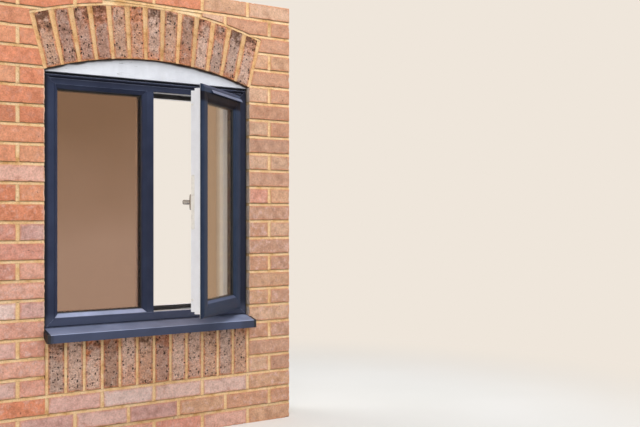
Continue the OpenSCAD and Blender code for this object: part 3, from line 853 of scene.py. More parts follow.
@dataclass(frozen=True)
class SmoothPlastic(Finish):
    """Extruded or moulded plastic with a little dust and a fine die line or orange peel."""

    colour: str = "#e4e7ec"
    dust: str = "#d3d4d4"
    roughness: float = 0.32
    peel_mm: float = 6.0
    relief: float = 0.00006

    def surface(self, tree: Tree) -> dict:
        """Plain colour with dust in wide clouds and a shallow peel.

        Args:
            tree: Material's node tree.

        Returns:
            Inputs of the main shader by name.
        """
        spot = add(tree, "TexCoord").outputs["Object"]
        cloud = add(tree, "TexNoise", {"Vector": spot, "Scale": 1000 / 60.0, "Detail": 5.0, "Roughness": 0.6})
        base = add(tree, "ValToRGB", [cloud], stops=[(0.4, self.colour), (0.8, self.dust)])
        peel = add(tree, "TexNoise", {"Vector": spot, "Scale": 1000 / self.peel_mm, "Detail": 2.0})
        relief = add(tree, "Bump", {"Height": peel, "Distance": self.relief, "Strength": 0.6})
        return {"Base Color": base, "Roughness": self.roughness, "IOR": 1.49, "Normal": relief}


@dataclass(frozen=True)
class ShadowLinedSheet(SmoothPlastic):
    """Painted sheet with a painted shadow of the arch along its border under the bricks and hairline cracks in its
    filler.
    """

    def surface(self, tree: Tree) -> dict:
        """The paint, darkened by the mark's alpha as a painted shadow, with broken cracks where a slow noise crosses
        its middle value.

        Args:
            tree: Material's node tree.

        Returns:
            Inputs of the main shader by name.
        """
        sockets = SmoothPlastic.surface(self, tree)
        spot = add(tree, "TexCoord").outputs["Object"]
        drawn = add(tree, "VectorMath", [spot, (2.6, 2.6, 34.0)], operation="MULTIPLY")
        run = add(tree, "TexNoise", {"Vector": drawn, "Scale": 1.0, "Detail": 3.0})
        middle = add(tree, "Math", [run, 0.5, 0.004], operation="COMPARE")
        broken = add(tree, "TexNoise", {"Vector": spot, "Scale": 1000 / 45.0, "Detail": 3.0})
        some = add(tree, "MapRange", [broken, 0.5, 0.6, 0.0, 0.4])
        crack = add(tree, "Math", [middle, some], operation="MULTIPLY")
        # Painted shadow of the arch along the sheet's top, from the mark's alpha
        arch_shadow = add(tree, "Attribute", attribute_name="mark").outputs["Alpha"]
        dark = add(tree, "Math", [crack, arch_shadow], operation="MAXIMUM")
        colour = add(tree, "Mix", {0: dark, 6: sockets["Base Color"], 7: "#2a1f1a"})
        return {**sockets, "Base Color": colour}


@dataclass(frozen=True)
class FloatGlass(Finish):
    """Float glass of a sealed unit: clear and smooth, with a warm tint that paints the room seen through it."""

    colour: str = "#b8a08a"
    pale_view: str = "#cfbbae"
    pale_view_share: float = 1.0
    bend: float = 1.45
    shades: tuple[Shade, ...] = ()

    def surface(self, tree: Tree) -> dict:
        """Tinted transmission that paints the room seen through it, painted paler towards the foot in slow clouds.

        Args:
            tree: Material's node tree.

        Returns:
            Inputs of the main shader by name.
        """
        spot = add(tree, "TexCoord").outputs["Object"]
        cloud = add(tree, "TexNoise", {"Vector": spot, "Scale": 1000 / 350.0, "Detail": 3.0})
        height = add(tree, "SeparateXYZ", [spot])
        # Painted view: the glass turns paler towards the foot
        level = add(tree, "MapRange", [height.outputs[2], 1.3, 0.62, 0.0, self.pale_view_share])
        wavy = add(tree, "Math", [cloud, 0.5, level], operation="MULTIPLY_ADD")
        tint = add(tree, "ValToRGB", [wavy], stops=[(0.25, self.colour), (1.0, self.pale_view)])
        colour = tint
        for shade in self.shades:
            colour = shade.laid(tree, colour)
        return {"Base Color": colour, "Roughness": 0.0, "IOR": self.bend, "Transmission Weight": 1.0}

    def shader(self, tree: Tree) -> bpy.types.Node:
        """Adds clear shadow rays to the glass, so that the sheets don't darken what they cover.

        Args:
            tree: Material's node tree.

        Returns:
            The node that mixes both.
        """
        glass, path = super().shader(tree), add(tree, "LightPath")
        clear = add(tree, "BsdfTransparent", {"Color": "#e6ddd4"})
        return add(tree, "MixShader", [path.outputs["Is Shadow Ray"], glass, clear])


@dataclass(frozen=True)
class WorkedMetal(Finish):
    """Stamped and brushed or plated metal of the window's ironmongery."""

    colour: str = "#b9bcc0"
    roughness: float = 0.34
    stretch: tuple[float, float, float] = (30.0, 900.0, 900.0)
    dulled: float = 0.5
    relief: float = 0.00004

    def surface(self, tree: Tree) -> dict:
        """Metal with brushing drawn along the piece and a dulled, uneven gloss.

        Args:
            tree: Material's node tree.

        Returns:
            Inputs of the main shader by name.
        """
        spot = add(tree, "TexCoord").outputs["Object"]
        drawn = add(tree, "VectorMath", [spot, self.stretch], operation="MULTIPLY")
        brush = add(tree, "TexNoise", {"Vector": drawn, "Scale": 1.0, "Detail": 2.0})
        dull = add(tree, "TexNoise", {"Vector": spot, "Scale": 1000 / 14.0, "Detail": 3.0})
        gloss = add(tree, "MapRange", [dull, 0.3, 0.7, self.roughness - 0.06, self.roughness + 0.12])
        worn = add(tree, "MapRange", [dull, 0.4, 0.7, 0.0, self.dulled])
        base = add(tree, "Mix", {0: worn, 6: self.colour, 7: "#8f9296"})
        relief = add(tree, "Bump", {"Height": brush, "Distance": self.relief, "Strength": 0.5})
        return {"Base Color": base, "Metallic": 1.0, "Roughness": gloss, "Normal": relief}


@dataclass(frozen=True)
class Mineral(Finish):
    """Cast, foamed, trowelled or spun mineral surface: a clouded colour with pores or fibres at their real size."""

    colour: str = "#bdbbb5"
    shade: str = "#a5a39d"
    cloud_mm: float = 80.0
    pore_mm: float = 4.0
    pore_dark: float = 0.25
    relief: float = 0.0008
    stretch: tuple[float, float, float] = (1.0, 1.0, 1.0)
    roughness: float = 0.9

    def surface(self, tree: Tree) -> dict:
        """Clouds from the colour to its shade, with darker sunk pores.

        Args:
            tree: Material's node tree.

        Returns:
            Inputs of the main shader by name.
        """
        spot = add(tree, "TexCoord").outputs["Object"]
        drawn = add(tree, "VectorMath", [spot, self.stretch], operation="MULTIPLY")
        cloud = add(tree, "TexNoise", {"Vector": drawn, "Scale": 1000 / self.cloud_mm, "Detail": 5.0, "Roughness": 0.6})
        base = add(tree, "ValToRGB", [cloud], stops=[(0.35, self.colour), (0.72, self.shade)])
        pores = add(tree, "TexNoise", {"Vector": drawn, "Scale": 1000 / self.pore_mm, "Detail": 3.0, "Roughness": 0.7})
        deep = add(tree, "MapRange", [pores, 0.45, 0.3, 0.0, self.pore_dark])
        colour = add(tree, "Mix", {0: deep, 6: base, 7: "#4c4740"})
        relief = add(tree, "Bump", {"Height": pores, "Distance": self.relief, "Strength": 0.8})
        return {"Base Color": colour, "Roughness": self.roughness, "Specular IOR Level": 0.2, "Normal": relief}


@dataclass(frozen=True)
class StudioFloor(Finish):
    """Matt painted studio floor that runs out into the surround's colour away from the object."""

    colour: str = "#eceae6"

    def shader(self, tree: Tree) -> bpy.types.Node:
        """Matt paint near the object; past 1.5 m, to 3.2 m, what the camera, gloss and glass see fades to the surround.

        Args:
            tree: Material's node tree.

        Returns:
            The node that mixes paint and surround.
        """
        spot = add(tree, "TexCoord").outputs["Object"]
        cloud = add(tree, "TexNoise", {"Vector": spot, "Scale": 1.1, "Detail": 3.0})
        tone = add(tree, "ValToRGB", [cloud], stops=[(0.35, self.colour), (0.7, "#e8e6e1")])
        paint = add(tree, "BsdfPrincipled", {"Base Color": tone, "Roughness": 0.85})
        away = add(tree, "VectorMath", [spot], operation="LENGTH").outputs["Value"]
        fade = add(tree, "MapRange", [away, 1.5, 3.2], interpolation_type="SMOOTHSTEP")
        share = add(tree, "Math", [seen_rays(tree), fade], operation="MULTIPLY")
        glow = add(tree, "Emission", {"Color": SURROUND, "Strength": 1.0})
        return add(tree, "MixShader", [share, paint, glow])


class Finishes:
    """Every material of the window and its wall, made once."""

    def __init__(self) -> None:
        """Makes them."""
        # Sand-faced clay, fired pink to orange, with pale bloom
        self.facing = FiredClay("fired_facing_brick").make()
        # Brindled clay: mauve-grey body, orange where the fire reached the arrises, black burnt specks
        self.brindled = FiredClay(
            "fired_brindled_brick", bloom="#cdb3a6", burnt="#5d3b29", speck="#2a1d19", edge="#cf7f50", cloud_mm=60.0,
            patch_mm=26.0, speck_mm=10.5, edge_share=0.8, speck_share=0.8, speck_reach=0.46, burnt_share=0.85,
            mottle=0.42,
        ).make()
        # Lime and sand: buff and gritty, with dark pits and damp stains
        self.mortar = SandMortar("struck_sand_mortar").make()
        # Dark blue-grey and satin, with a fine grain along the bar, a painted sky sheen with some dust on what faces
        # up, painted shade in the reveal's corners, beside the open light and under the head, and painted light off the
        # sill
        self.foil = FoiledPlastic("laminated_anthracite_foil").make()
        # The same foil on the opening light, with less painted sky sheen and a painted shadow of the drip bar on the
        # top rail below it
        self.casement_shaded = FoiledPlastic(
            "casement_shaded_anthracite_foil", "#2b3447", "#343e52", "#545d76", 0.05, (Shade(2, (1.37, 1.385), 1.416, 0.95),)
        ).make()
        # The drip bar's foil, with a brighter painted sky sheen along its upper face
        self.skylit = FoiledPlastic("skylit_anthracite_foil", "#2b3447", "#343e52", "#7b8299", 0.05, ()).make()
        # The strip set back over the head: the foil darkened nearly to black, as a painted shadow in its recess
        self.shaded = FoiledPlastic("shaded_anthracite_foil", "#12151e", "#191d28", "#232733", shades=()).make()
        # Injection-moulded cap of the sill's ends: darker and duller than the foil beside it
        self.cap = SmoothPlastic("moulded_sill_end_cap", "#101219", "#1d2029", 0.5, 3.0, 0.0002).make()
        # Extruded unplasticised PVC, cool white and half glossy
        self.white = SmoothPlastic("extruded_white_pvc", "#fafbfe", "#eff0f3").make()
        # EPDM seals: black, dull and slightly grey with dust
        self.rubber = SmoothPlastic("extruded_epdm_rubber", "#17181b", "#2a2b2e", 0.55, 1.5, 0.00004).make()
        # Warm-edge spacer: matt black plastic on a steel core
        self.spacer = SmoothPlastic("warm_edge_spacer_bar", "#232223", "#383534", 0.5, 1.2, 0.00005).make()
        # Clear sheets with a warm tint that paints the room seen through them, painted paler towards the foot
        self.glass = FloatGlass("float_glass_unit").make()
        # The same glass in the opening light, seen along its face: paler, with a beige zone on its lock side that
        # paints the room seen through it
        self.open_glass = FloatGlass(
            "float_glass_open_light", "#e9e9e6", "#eeeeeb", bend=1.18,
            # Painted view of the room on the lock side
            shades=(Shade(0, (0.25, 0.225), share=0.9, colour="#cdb79e"),),
        ).make()
        # Grey sheet steel, brushed along its length and dull in patches
        self.stay = WorkedMetal("stamped_stainless_steel").make()
        # Plated strip: nearly white, with a soft sheen
        self.lock = WorkedMetal("zinc_plated_steel", "#f0f0ee", 0.5, (900.0, 900.0, 40.0), 0.12, 0.00001).make()
        # Light grey castings with an even, fine grain
        self.keep = WorkedMetal("die_cast_zinc", "#c9cbce", 0.4, (300.0, 300.0, 300.0)).make()
        # Polished and chromed die casting: a bright spot above dark ones, as the photograph shows it
        self.handle = WorkedMetal("polished_chrome_plate", "#b3aea8", 0.12, (60.0, 60.0, 60.0), 0.1, 0.000004).make()
        # Gloss-painted timber board
        self.board = SmoothPlastic("gloss_painted_board", "#f0efec", "#e6e4df", 0.25, 9.0, 0.0001).make()
        # Painted sheet over the frame, slightly dirty, with a painted shadow of the arch along its top
        self.panel = ShadowLinedSheet("painted_infill_sheet", "#e2e5ec", "#d0d3d9", 0.45, 12.0, 0.0002).make()
        # Silicone run along the frame's sides: dark, with dust stuck to it
        self.sealant = SmoothPlastic("tooled_silicone", "#1b1918", "#2e2b29", 0.5, 8.0, 0.0003).make()
        # Aerated concrete: grey foam with open pores
        self.block = Mineral("aerated_concrete_block", "#bdbcb6", "#a9a7a0", 90.0, 3.0, 0.45, 0.0009).make()
        # Grey cement mortar between the blocks, wiped flush and left rough
        self.cement = Mineral("grey_cement_mortar", "#8f8a82", "#77736c", 30.0, 2.5, 0.3, 0.001).make()
        # Cast in a mould: smooth and grey, with small air holes
        self.concrete = Mineral("cast_concrete_lintel", "#aaa79f", "#8f8c84", 60.0, 6.0, 0.3, 0.0007).make()
        # Skim-coated plaster in matt emulsion paint
        self.plaster = Mineral("painted_skim_plaster", "#e9dfd3", "#ded3c6", 160.0, 9.0, 0.0, 0.0002).make()
        # Spun mineral wool: yellow-brown felt whose layers stand upright
        self.wool = Mineral("mineral_wool_batt", "#d9c27e", "#b99f58", 45.0, 2.2, 0.5, 0.003, (2.0, 2.0, 0.35)).make()


@dataclass
class Weather:
    """How far a block's front departs from flat, in millimetres, and how much of each colour lies on it.

    Attributes:
        bow: Wide waves.
        grain: Fine waves.
        chip: Broken arrises.
        sit: Most that the whole front stands back.
        hollow: Depth of a joint's middle.
        struck: Slope of a joint's face.
        across: Whether hollow, slope and grime run with its height (1) or its width (0).
        smoke_and_shade: Smoke on the upper end, from nought to one; on the soldiers under the sill it also paints the
            sill's shade.
        shade_and_grime: Darkening along the deep edge, from nought to one, which paints the shade under the brick
            above, with some dirt.
        blush: Orange on one end, whose sign names the end.
        reveal: Half width of the opening that it stands at, or nought.
    """

    bow: float = 0.5
    grain: float = 0.35
    chip: float = 2.6
    sit: float = 0.7
    hollow: float = 0.0
    struck: float = 0.0
    across: int = 1
    smoke_and_shade: float = 0.0
    shade_and_grime: float = 0.0
    blush: float = 0.0
    reveal: float = 0.0


@dataclass
class Assembly:
    """Part of the window or of its wall, which builds its meshes and dresses them in the finishes."""

    finishes: Finishes


@dataclass
class Masonry(Assembly):
    """Lays bricks and joints into a shell. Sizes in millimetres."""

    leaf_y: float = -51.25
    depth: float = 102.5
    wall_half: float = 670.0
    wall_h: float = 1865.0
    mortar_tone: str = "#ffffff"
    rng: np.random.Generator = field(default_factory=lambda: np.random.default_rng(41))

    def block(
        self,
        shell: Shell,
        size: tuple[float, float],
        place: Place,
        weather: Weather,
        tint: tuple | Array = (1.0, 1.0, 1.0, 1.0),
        bloom: float = 0.5,
        cell: float = 6.0,
        arris: float = 1.5,
        back: float = 0.0,
    ) -> None:
        """Lays one brick or joint.

        A tray of the size is displaced backwards by a bow, by a grain, by chips that grow towards its border, by a
        hollow that is the sine of its place across, and by the struck slope, which grows with its place across, and
        then place turns its shares into X and Z. A brick at the reveal is drawn back from it by some 2 to 4 mm, and its
        tint turns pale along that arris as a painted highlight. Smoke fades from the upper end over half its height,
        and on the soldiers under the sill it also paints the sill's shade. A darkening that paints the shade under the
        brick above, with some dirt, lies along a joint's deep edge, and a blush of orange covers the end that its sign
        names, with a noisy border.

        Args:
            shell: Where it goes.
            size: Its width and height.
            place: Turns shares of the width and height into X and Z.
            weather: Amounts of each displacement.
            tint: Own colour.
            bloom: Share of pale bloom.
            cell: Side of the front's cells.
            arris: Size of the rounded edge.
            back: Distance of the whole front behind the leaf's face.
        """
        width, height = size
        points, blocks = tray(width, height, self.depth, cell, arris)
        u, v, y = points.T
        x, z = place(u / width, v / height)
        lot = float(self.rng.random())
        spots = np.column_stack([x, y + 1000 * lot, z])
        border = np.minimum(np.minimum(u, width - u), np.minimum(v, height - v))
        near, rim = np.clip(1 - border / CHIP_REACH, 0, 1), np.clip(1 - border / RIM_REACH, 0, 1) * (y < SMEAR_Y - 0.1)
        chip = weather.chip * ease(layered_noise(spots, 16, 5), 0.25, 0.9) * near**1.5
        fresh = ease(self.depth - y, 20, 60)
        give = weather.bow * layered_noise(spots, 70, 11, 2) + weather.grain * layered_noise(spots, 11, 23)
        share = (v / height, u / width)[1 - weather.across]
        give = give + weather.hollow * np.sin(math.pi * np.clip(share, 0, 1)) + weather.sit * self.rng.random()
        give = give + weather.struck * np.clip(share, 0, 1) ** 1.6
        y = np.where(y < self.depth / 2, y + np.maximum(give + chip + weather.bow + weather.grain, 0) * fresh, y)
        pull = 0.55 * chip * (points[:, 2] < self.depth / 2)
        u = np.clip(u + pull * np.sign(width / 2 - u) * (np.minimum(u, width - u) < CHIP_REACH), 0, width)
        v = np.clip(v + pull * np.sign(height / 2 - v) * (np.minimum(v, height - v) < CHIP_REACH), 0, height)
        x, z = place(u / width, v / height)
        lit = np.zeros(len(x))
        if weather.reveal:
            short = weather.reveal - 0.3 - np.abs(x)
            x = x + np.sign(x) * ease(-np.abs(short), -12, 0) * (2.4 + 1.6 * layered_noise(spots, 17, 61))
            lit = 0.85 * ease(short, -6.5, -2.0)
        x = np.clip(x, -self.wall_half, self.wall_half)
        z = np.clip(z, 0, self.wall_h)
        # Smoke on the upper end, and on joints a darkening along the deep edge that paints the shade under the brick
        # above
        smoke_and_shade = weather.smoke_and_shade * ease(v / height, 0.5, 1.0)
        deep = share if weather.across else 0.75 * np.abs(2 * share - 1)
        smoke_and_shade = smoke_and_shade + weather.shade_and_grime * ease(deep, 0.5, 1.0)
        end = np.where(weather.blush > 0, v / height, 1 - v / height) + 0.3 * layered_noise(spots, 36, 31, 3)
        glow = (abs(weather.blush) * ease(end, 0.6, 0.85))[:, None]
        tint = (1 - glow) * np.array(tint) + glow * np.array(linear("#cf7a4c"))
        # Painted highlight: the tint turns pale along the arris at the reveal
        tint = tint + lit[:, None] * (np.array(linear("#fbe9d8")) - tint)
        mark = np.column_stack([np.full(len(x), lot), rim, np.full(len(x), bloom), smoke_and_shade])
        y = self.leaf_y + back + np.minimum(y, self.depth - back)
        shell.add(np.column_stack([x, y, z]), blocks, tint=tint, mark=mark)

    def colour(self, codes: list[str], spread: float = 0.035) -> tuple:
        """Picks one colour and makes it a little lighter or darker."""
        base = np.array(linear(codes[int(self.rng.integers(len(codes)))])[:3])
        return (*(base * (1 + spread * self.rng.standard_normal())).clip(0, 1), 1.0)

    @staticmethod
    def straight(x0: float, x1: float, z0: float, z1: float) -> Place:
        """Rectangle: X and Z grow evenly with the shares."""
        return lambda a, b: (x0 + a * (x1 - x0), z0 + b * (z1 - z0))


@dataclass
class OuterLeaf(Masonry):
    """Facing brickwork in stretcher bond with its joints, cut round the arch."""

    brick_h: float = 65.0
    course_h: float = 75.0
    bat: float = 112.5
    stretcher: float = 225.0
    joint: float = 10.0
    half_open: float = 455.0
    spring_z: float = 1490.0
    arch_r: float = 1417.67
    arch_z: float = 147.33
    ring: float = 215.0
    skew: float = math.radians(15)
    lap: float = 0.8
    slack: float = 1.9
    slack_z: float = 1.0
    warm_z: float = 820.0
    white_z: float = 1082.0
    orange: tuple[str, ...] = ("#e49c78", "#e0926f", "#e8a681", "#dd8d6a", "#e9a27c")
    pink: tuple[str, ...] = ("#e6ae98", "#e2a48e", "#eab9a6", "#dc9c88", "#e5aa95")
    mauve: tuple[str, ...] = ("#dfb2a6", "#e3bcb0", "#d6a99e", "#e1b5a8")
    pale: tuple[str, ...] = ("#ecd0c6", "#e9c6b8")
    tan: tuple[str, ...] = ("#d8ab8a", "#d3a183", "#dfb698", "#cb9f85")

    def bricks_in(self, course: int, x0: float, x1: float) -> list[tuple[float, float]]:
        """Stretches of the bricks of a course between two places: joints every 225 mm, odd courses half a brick on.

        Args:
            course: Number of the course from the foot.
            x0: Left end.
            x1: Right end.

        Returns:
            Left and right end of each brick.
        """
        shift = self.bat if course % 2 else 0.0
        cuts = shift + self.stretcher * np.arange(-4, 5)
        cuts = cuts[(cuts > x0 + self.joint) & (cuts < x1 - self.joint)]
        lows = np.concatenate(([x0], cuts + self.joint / 2))
        highs = np.concatenate((cuts - self.joint / 2, [x1]))
        return list(zip(lows.tolist(), highs.tolist()))

    def tint_at(self, x: float, z: float) -> tuple[tuple, float]:
        """Colour and bloom of the brick at a place: orange towards the top, pink and mauve towards the foot.

        Tan bricks grow more frequent to the right, partly their own tone and partly a painted shade of the climbing
        plant, one brick is nearly white, and the right pier beside the open casement is a little darker, as a painted
        shade of the casement and the plant.

        Args:
            x: Brick's middle across.
            z: Brick's middle upwards.

        Returns:
            Colour, and share of bloom.
        """
        warm = np.clip(0.9 * (z - self.warm_z) / 420 - 0.1 * x / self.wall_half, 0.02, 1.0)
        pick = self.rng.random()
        family = self.orange if pick < warm else self.pink if pick < warm + 0.6 * (1 - warm) else self.mauve
        family = self.pale if self.rng.random() < 0.05 and z < 1200 else family
        # Tan towards the right: partly the bricks' own tone, partly a painted shade of the climbing plant
        family = self.tan if self.rng.random() < ease(np.array(x), 0, 600) else family
        if abs(z - self.white_z) < self.brick_h / 3 and -560 < x < -self.half_open:
            return (*linear("#e6d2d4")[:3], 1.0), 0.9
        own = self.colour(list(family))
        # Painted shade that the open casement and the climbing plant cast on the right pier
        painted_shade = 0.92 if x > self.half_open and 1100 < z < 1430 else 1.0
        return (*(painted_shade * np.array(own[:3])), 1.0), float(0.15 + 0.6 * self.rng.random() * (1.2 - warm))

    def lay_brick(self, shell: Shell, x0: float, x1: float, z0: float, z1: float, place: Place | None = None) -> None:
        """Lays one facing brick whose box is given, straight or by its own place function.

        Args:
            shell: Where it goes.
            x0: Left side.
            x1: Right side.
            z0: Foot.
            z1: Top.
            place: Turns shares into X and Z where it isn't a plain box.
        """
        tint, bloom = self.tint_at((x0 + x1) / 2, (z0 + z1) / 2)
        whole = place or self.straight(x0, x1, z0, z1)
        ends = np.abs(whole(np.array([0.0, 1.0]), np.array([0.5, 0.5]))[0])
        left, right = np.where(ends < self.wall_half - 0.1, self.slack / (x1 - x0), 0.0)
        foot = self.slack_z / (z1 - z0) * (z0 > 0)
        head = self.slack_z / (z1 - z0) * (z1 < self.wall_h)

        def worn(s: Array, t: Array) -> tuple[Array, Array]:
            """The brick's own place, with its sides drawn in where there is mortar beside them."""
            return whole(left + s * (1 - left - right), foot + t * (1 - foot - head))

        weather = Weather()
        if self.half_open - 1 < min(ends) < self.half_open + 1 and z1 > 450 and z0 < self.spring_z:
            weather.reveal = self.half_open + self.slack
        self.block(shell, (x1 - x0, z1 - z0), worn, weather, tint, bloom)

    def lay_bed(self, shell: Shell, course: int, x0: float, x1: float) -> None:
        """Lays the bed joint on top of a course, lapped into the bricks above and below and short of the reveal.

        Args:
            shell: Where it goes.
            course: Number of the course from the foot.
            x0: Left end.
            x1: Right end.
        """
        lap = self.lap + self.slack_z
        z0 = course * self.course_h + self.brick_h - lap
        z1 = z0 + self.joint + 2 * lap
        back = 4.5 * np.array([abs(x0) < self.half_open + 1, abs(x1) < self.half_open + 1])
        x0, x1 = x0 + back[0], x1 - back[1]
        self.joint_block(shell, (x1 - x0, z1 - z0), self.straight(x0, x1, z0, z1), 1)

    def joint_block(self, shell: Shell, size: tuple[float, float], place: Place, across: int) -> None:
        """Lays one stretch of mortar with a shallow hollow along its middle and cells a fifth of its width across it.

        A stretch of 300 mm or more is drawn wider than it is, with cells of 6.5 mm, and place brings it to its size.

        Args:
            shell: Where it goes.
            size: Its width and height.
            place: Turns shares of the width and height into X and Z.
            across: 1 for a level joint and 0 for an upright one.
        """
        weather = Weather(bow=0.5, grain=0.45, chip=0.0, sit=0.3, hollow=0.5 if across else 1.7, across=across)
        # Every joint's deep edge carries a painted shade of the brick above
        weather.struck, weather.shade_and_grime = (3.6 if across else 0.0), 0.7
        long, thin = max(size), min(size)
        cell = thin / 5 if long < 300 else 6.5
        drawn = (long * (5 * cell / thin) if long < 300 else long, 5 * cell)
        drawn = drawn if size[0] >= size[1] else drawn[::-1]
        self.block(shell, drawn, place, weather, self.colour([self.mortar_tone], 0.05), 0.0, cell, 0.4, 1.3)

    def lay_perpends(self, shell: Shell, course: int, stretches: list[tuple[float, float]]) -> None:
        """Lays the upright joints between neighbouring bricks of a course.

        Args:
            shell: Where they go.
            course: Number of the course from the foot.
            stretches: Left and right end of each brick.
        """
        z0 = course * self.course_h - self.lap
        z1 = z0 + self.brick_h + 2 * self.lap
        lap = self.lap + self.slack
        for (_, a), (b, _) in zip(stretches, stretches[1:]):
            self.joint_block(shell, (b - a + 2 * lap, z1 - z0), self.straight(a - lap, b + lap, z0, z1), 0)

    def edge_x(self, z: Array | float, gap: float) -> Array:
        """Half width of the arch ring grown by a gap: the nearer of the skewback's line and the back's circle.

        Args:
            z: Height or heights.
            gap: Distance from the ring.

        Returns:
            Half width at each height.
        """
        z = np.asarray(z, float)
        line = self.half_open + (z - self.spring_z) * math.tan(self.skew) + 0.5 * gap / math.cos(self.skew)
        reach = (self.arch_r + self.ring + gap) ** 2 - (z - self.arch_z) ** 2
        return np.where(z > self.spring_z, np.minimum(line, np.sqrt(np.maximum(reach, 0))), self.half_open)

    def back_z(self, x: Array | float, gap: float) -> Array:
        """Height of the arch's back grown by a gap: its circle."""
        return self.arch_z + np.sqrt((self.arch_r + self.ring + gap) ** 2 - np.asarray(x, float) ** 2)

    def lay_course(self, bricks: Shell, joints: Shell, course: int, x0: float, x1: float) -> None:
        """Lays a whole course: its bricks, the joints between them and the bed over them, which the last one lacks.

        Args:
            bricks: Where the bricks go.
            joints: Where the mortar goes.
            course: Number of the course from the foot.
            x0: Left end.
            x1: Right end.
        """
        stretches = self.bricks_in(course, x0, x1)
        z0 = course * self.course_h
        for a, b in stretches:
            self.lay_brick(bricks, a, b, z0, z0 + self.brick_h)
        self.lay_perpends(joints, course, stretches)
        if z0 + self.brick_h < self.wall_h:
            self.lay_bed(joints, course, x0, x1)

    def region(self, word: str, shells: tuple[Shell, Shell], nodes: list[str]) -> None:
        """Makes the pieces of a region from its bricks and its joints."""
        shells[0].piece(f"facing_bricks_{word}", "facing_brick", nodes, [self.finishes.facing], False)
        shells[1].piece(f"pointing_{word}", "mortar", nodes, [self.finishes.mortar], False)

    def build(self) -> None:
        """Builds the regions round the opening: courses 3 to 19 stand beside it and 20 to 24 over it."""
        left, right = ["brickwork_left"], ["brickwork_right"]
        end, inner = self.wall_half, self.half_open
        for word, courses, x0, x1, nodes in (
            ("left", range(3, 20), -end, -inner, left),
            ("right", range(3, 20), inner, end, right),
            ("below", range(3), -end, end, ["brickwork_below", *left, *right]),
        ):
            shells = Shell(), Shell()
            for course in courses:
                self.lay_course(*shells, course, x0, x1)
            self.region(word, shells, nodes)
        self.build_above()

    def build_above(self) -> None:
        """Builds the courses over the springing, cut to a joint's width from the arch.

        What would be left narrower than the least width beside the arch counts as mortar.
        """
        bricks, joints, least = Shell(), Shell(), 20
        for course in range(20, 23):
            z0 = course * self.course_h
            for sign in (-1, 1):
                ends = self.bricks_in(course, self.half_open - 10, self.wall_half)
                for a, b in ends:
                    self.cut_brick(bricks, sign, a, b, z0)
                inner = float(self.edge_x(z0 + self.brick_h / 2, self.joint))
                kept = [(max(a, inner), b) for a, b in ends if b > inner + least]
                stretches = sorted((min(sign * a, sign * b), max(sign * a, sign * b)) for a, b in kept)
                self.lay_perpends(joints, course, stretches)
                far = float(self.edge_x(z0 + self.brick_h + self.joint / 2, 2.0))
                x0, x1 = sorted((sign * self.wall_half, sign * far))
                self.lay_bed(joints, course, x0, x1)
        low, high = 23 * self.course_h, 23 * self.course_h + self.brick_h
        # Within this distance of the middle the arch leaves course 23 no room for a brick
        sliver = 222.0
        stretches = self.bricks_in(23, -self.wall_half, self.wall_half)
        kept = [(a, min(b, -sliver)) for a, b in stretches if a < -sliver - least]
        kept = kept + [(-b, -a) for a, b in reversed(kept)]
        for a, b in kept:
            self.lay_brick(bricks, a, b, low, high, self.over_arch(a, b, self.joint, low, high))
        self.lay_perpends(joints, 23, kept[: len(kept) // 2])
        self.lay_perpends(joints, 23, kept[len(kept) // 2 :])
        crown = self.over_arch(-sliver - 1, sliver + 1, 2.0, 0.0, high + 1)
        self.joint_block(joints, (2 * sliver, 20.0), crown, 1)
        self.lay_bed(joints, 23, -self.wall_half, self.wall_half)
        self.lay_course(bricks, joints, 24, -self.wall_half, self.wall_half)
        # Angle to where the skewback meets the back's circle, about the circle's middle, and a little over
        corner = math.atan2(510.6, 1550.4) + 0.006
        inner, thick = self.arch_r + self.ring - self.lap, self.joint + 2 * self.lap + self.slack

        def back(s: Array, t: Array) -> tuple[Array, Array]:
            """Ring of mortar on the arch's back: even angles by radii that lap both sides."""
            angle, radius = corner * (2 * s - 1), inner + t * thick
            return radius * np.sin(angle), self.arch_z + radius * np.cos(angle)

        self.joint_block(joints, (1040.0, 13.5), back, 1)
        self.region("above", (bricks, joints), ["brickwork_above"])

    def over_arch(self, a: float, b: float, gap: float, low: float, high: float) -> Place:
        """Place of what stands on the arch: X even across, Z from the higher of low and the arch's back up to high.

        Args:
            a: Left end.
            b: Right end.
            gap: Distance from the arch's back.
            low: Lowest foot.
            high: Top.

        Returns:
            Function that turns shares into X and Z.
        """

        def column(s: Array, t: Array) -> tuple[Array, Array]:
            """Shares to X and Z."""
            foot = np.maximum(low, self.back_z(a + s * (b - a), gap))
            return a + s * (b - a), foot + t * (high - foot)

        return column

    def cut_brick(self, shell: Shell, sign: int, a: float, b: float, z0: float) -> None:
        """Lays a brick whose inner end follows the arch, on one side; one that is nearly all cut away is left out.

        Args:
            shell: Where it goes.
            sign: -1 for the left side and 1 for the right one.
            a: Inner end as it would be without the arch.
            b: Outer end.
            z0: Foot.
        """
        z1 = z0 + self.brick_h
        inner = max(a, float(np.min(self.edge_x(np.linspace(z0, z1, 9), self.joint))))
        if b - inner < 25:
            return

        def row(s: Array, t: Array) -> tuple[Array, Array]:
            """Z even upwards, X from the arch's edge at that height to the brick's far end."""
            near = np.maximum(a, self.edge_x(z0 + t * (z1 - z0), self.joint))
            return sign * (near + s * (b - near)), z0 + t * (z1 - z0)

        x0, x1 = sorted((sign * inner, sign * b))
        self.lay_brick(shell, x0, x1, z0, z1, row)


class Clay(Enum):
    """Colours that the fire gave the brindled bricks."""

    ORANGE = "#cb987a"
    TAWNY = "#caa086"
    MAUVE = "#b58c79"
    GREY = "#bfa08f"
    PALE = "#d2ae9a"
    DARK = "#a8836f"


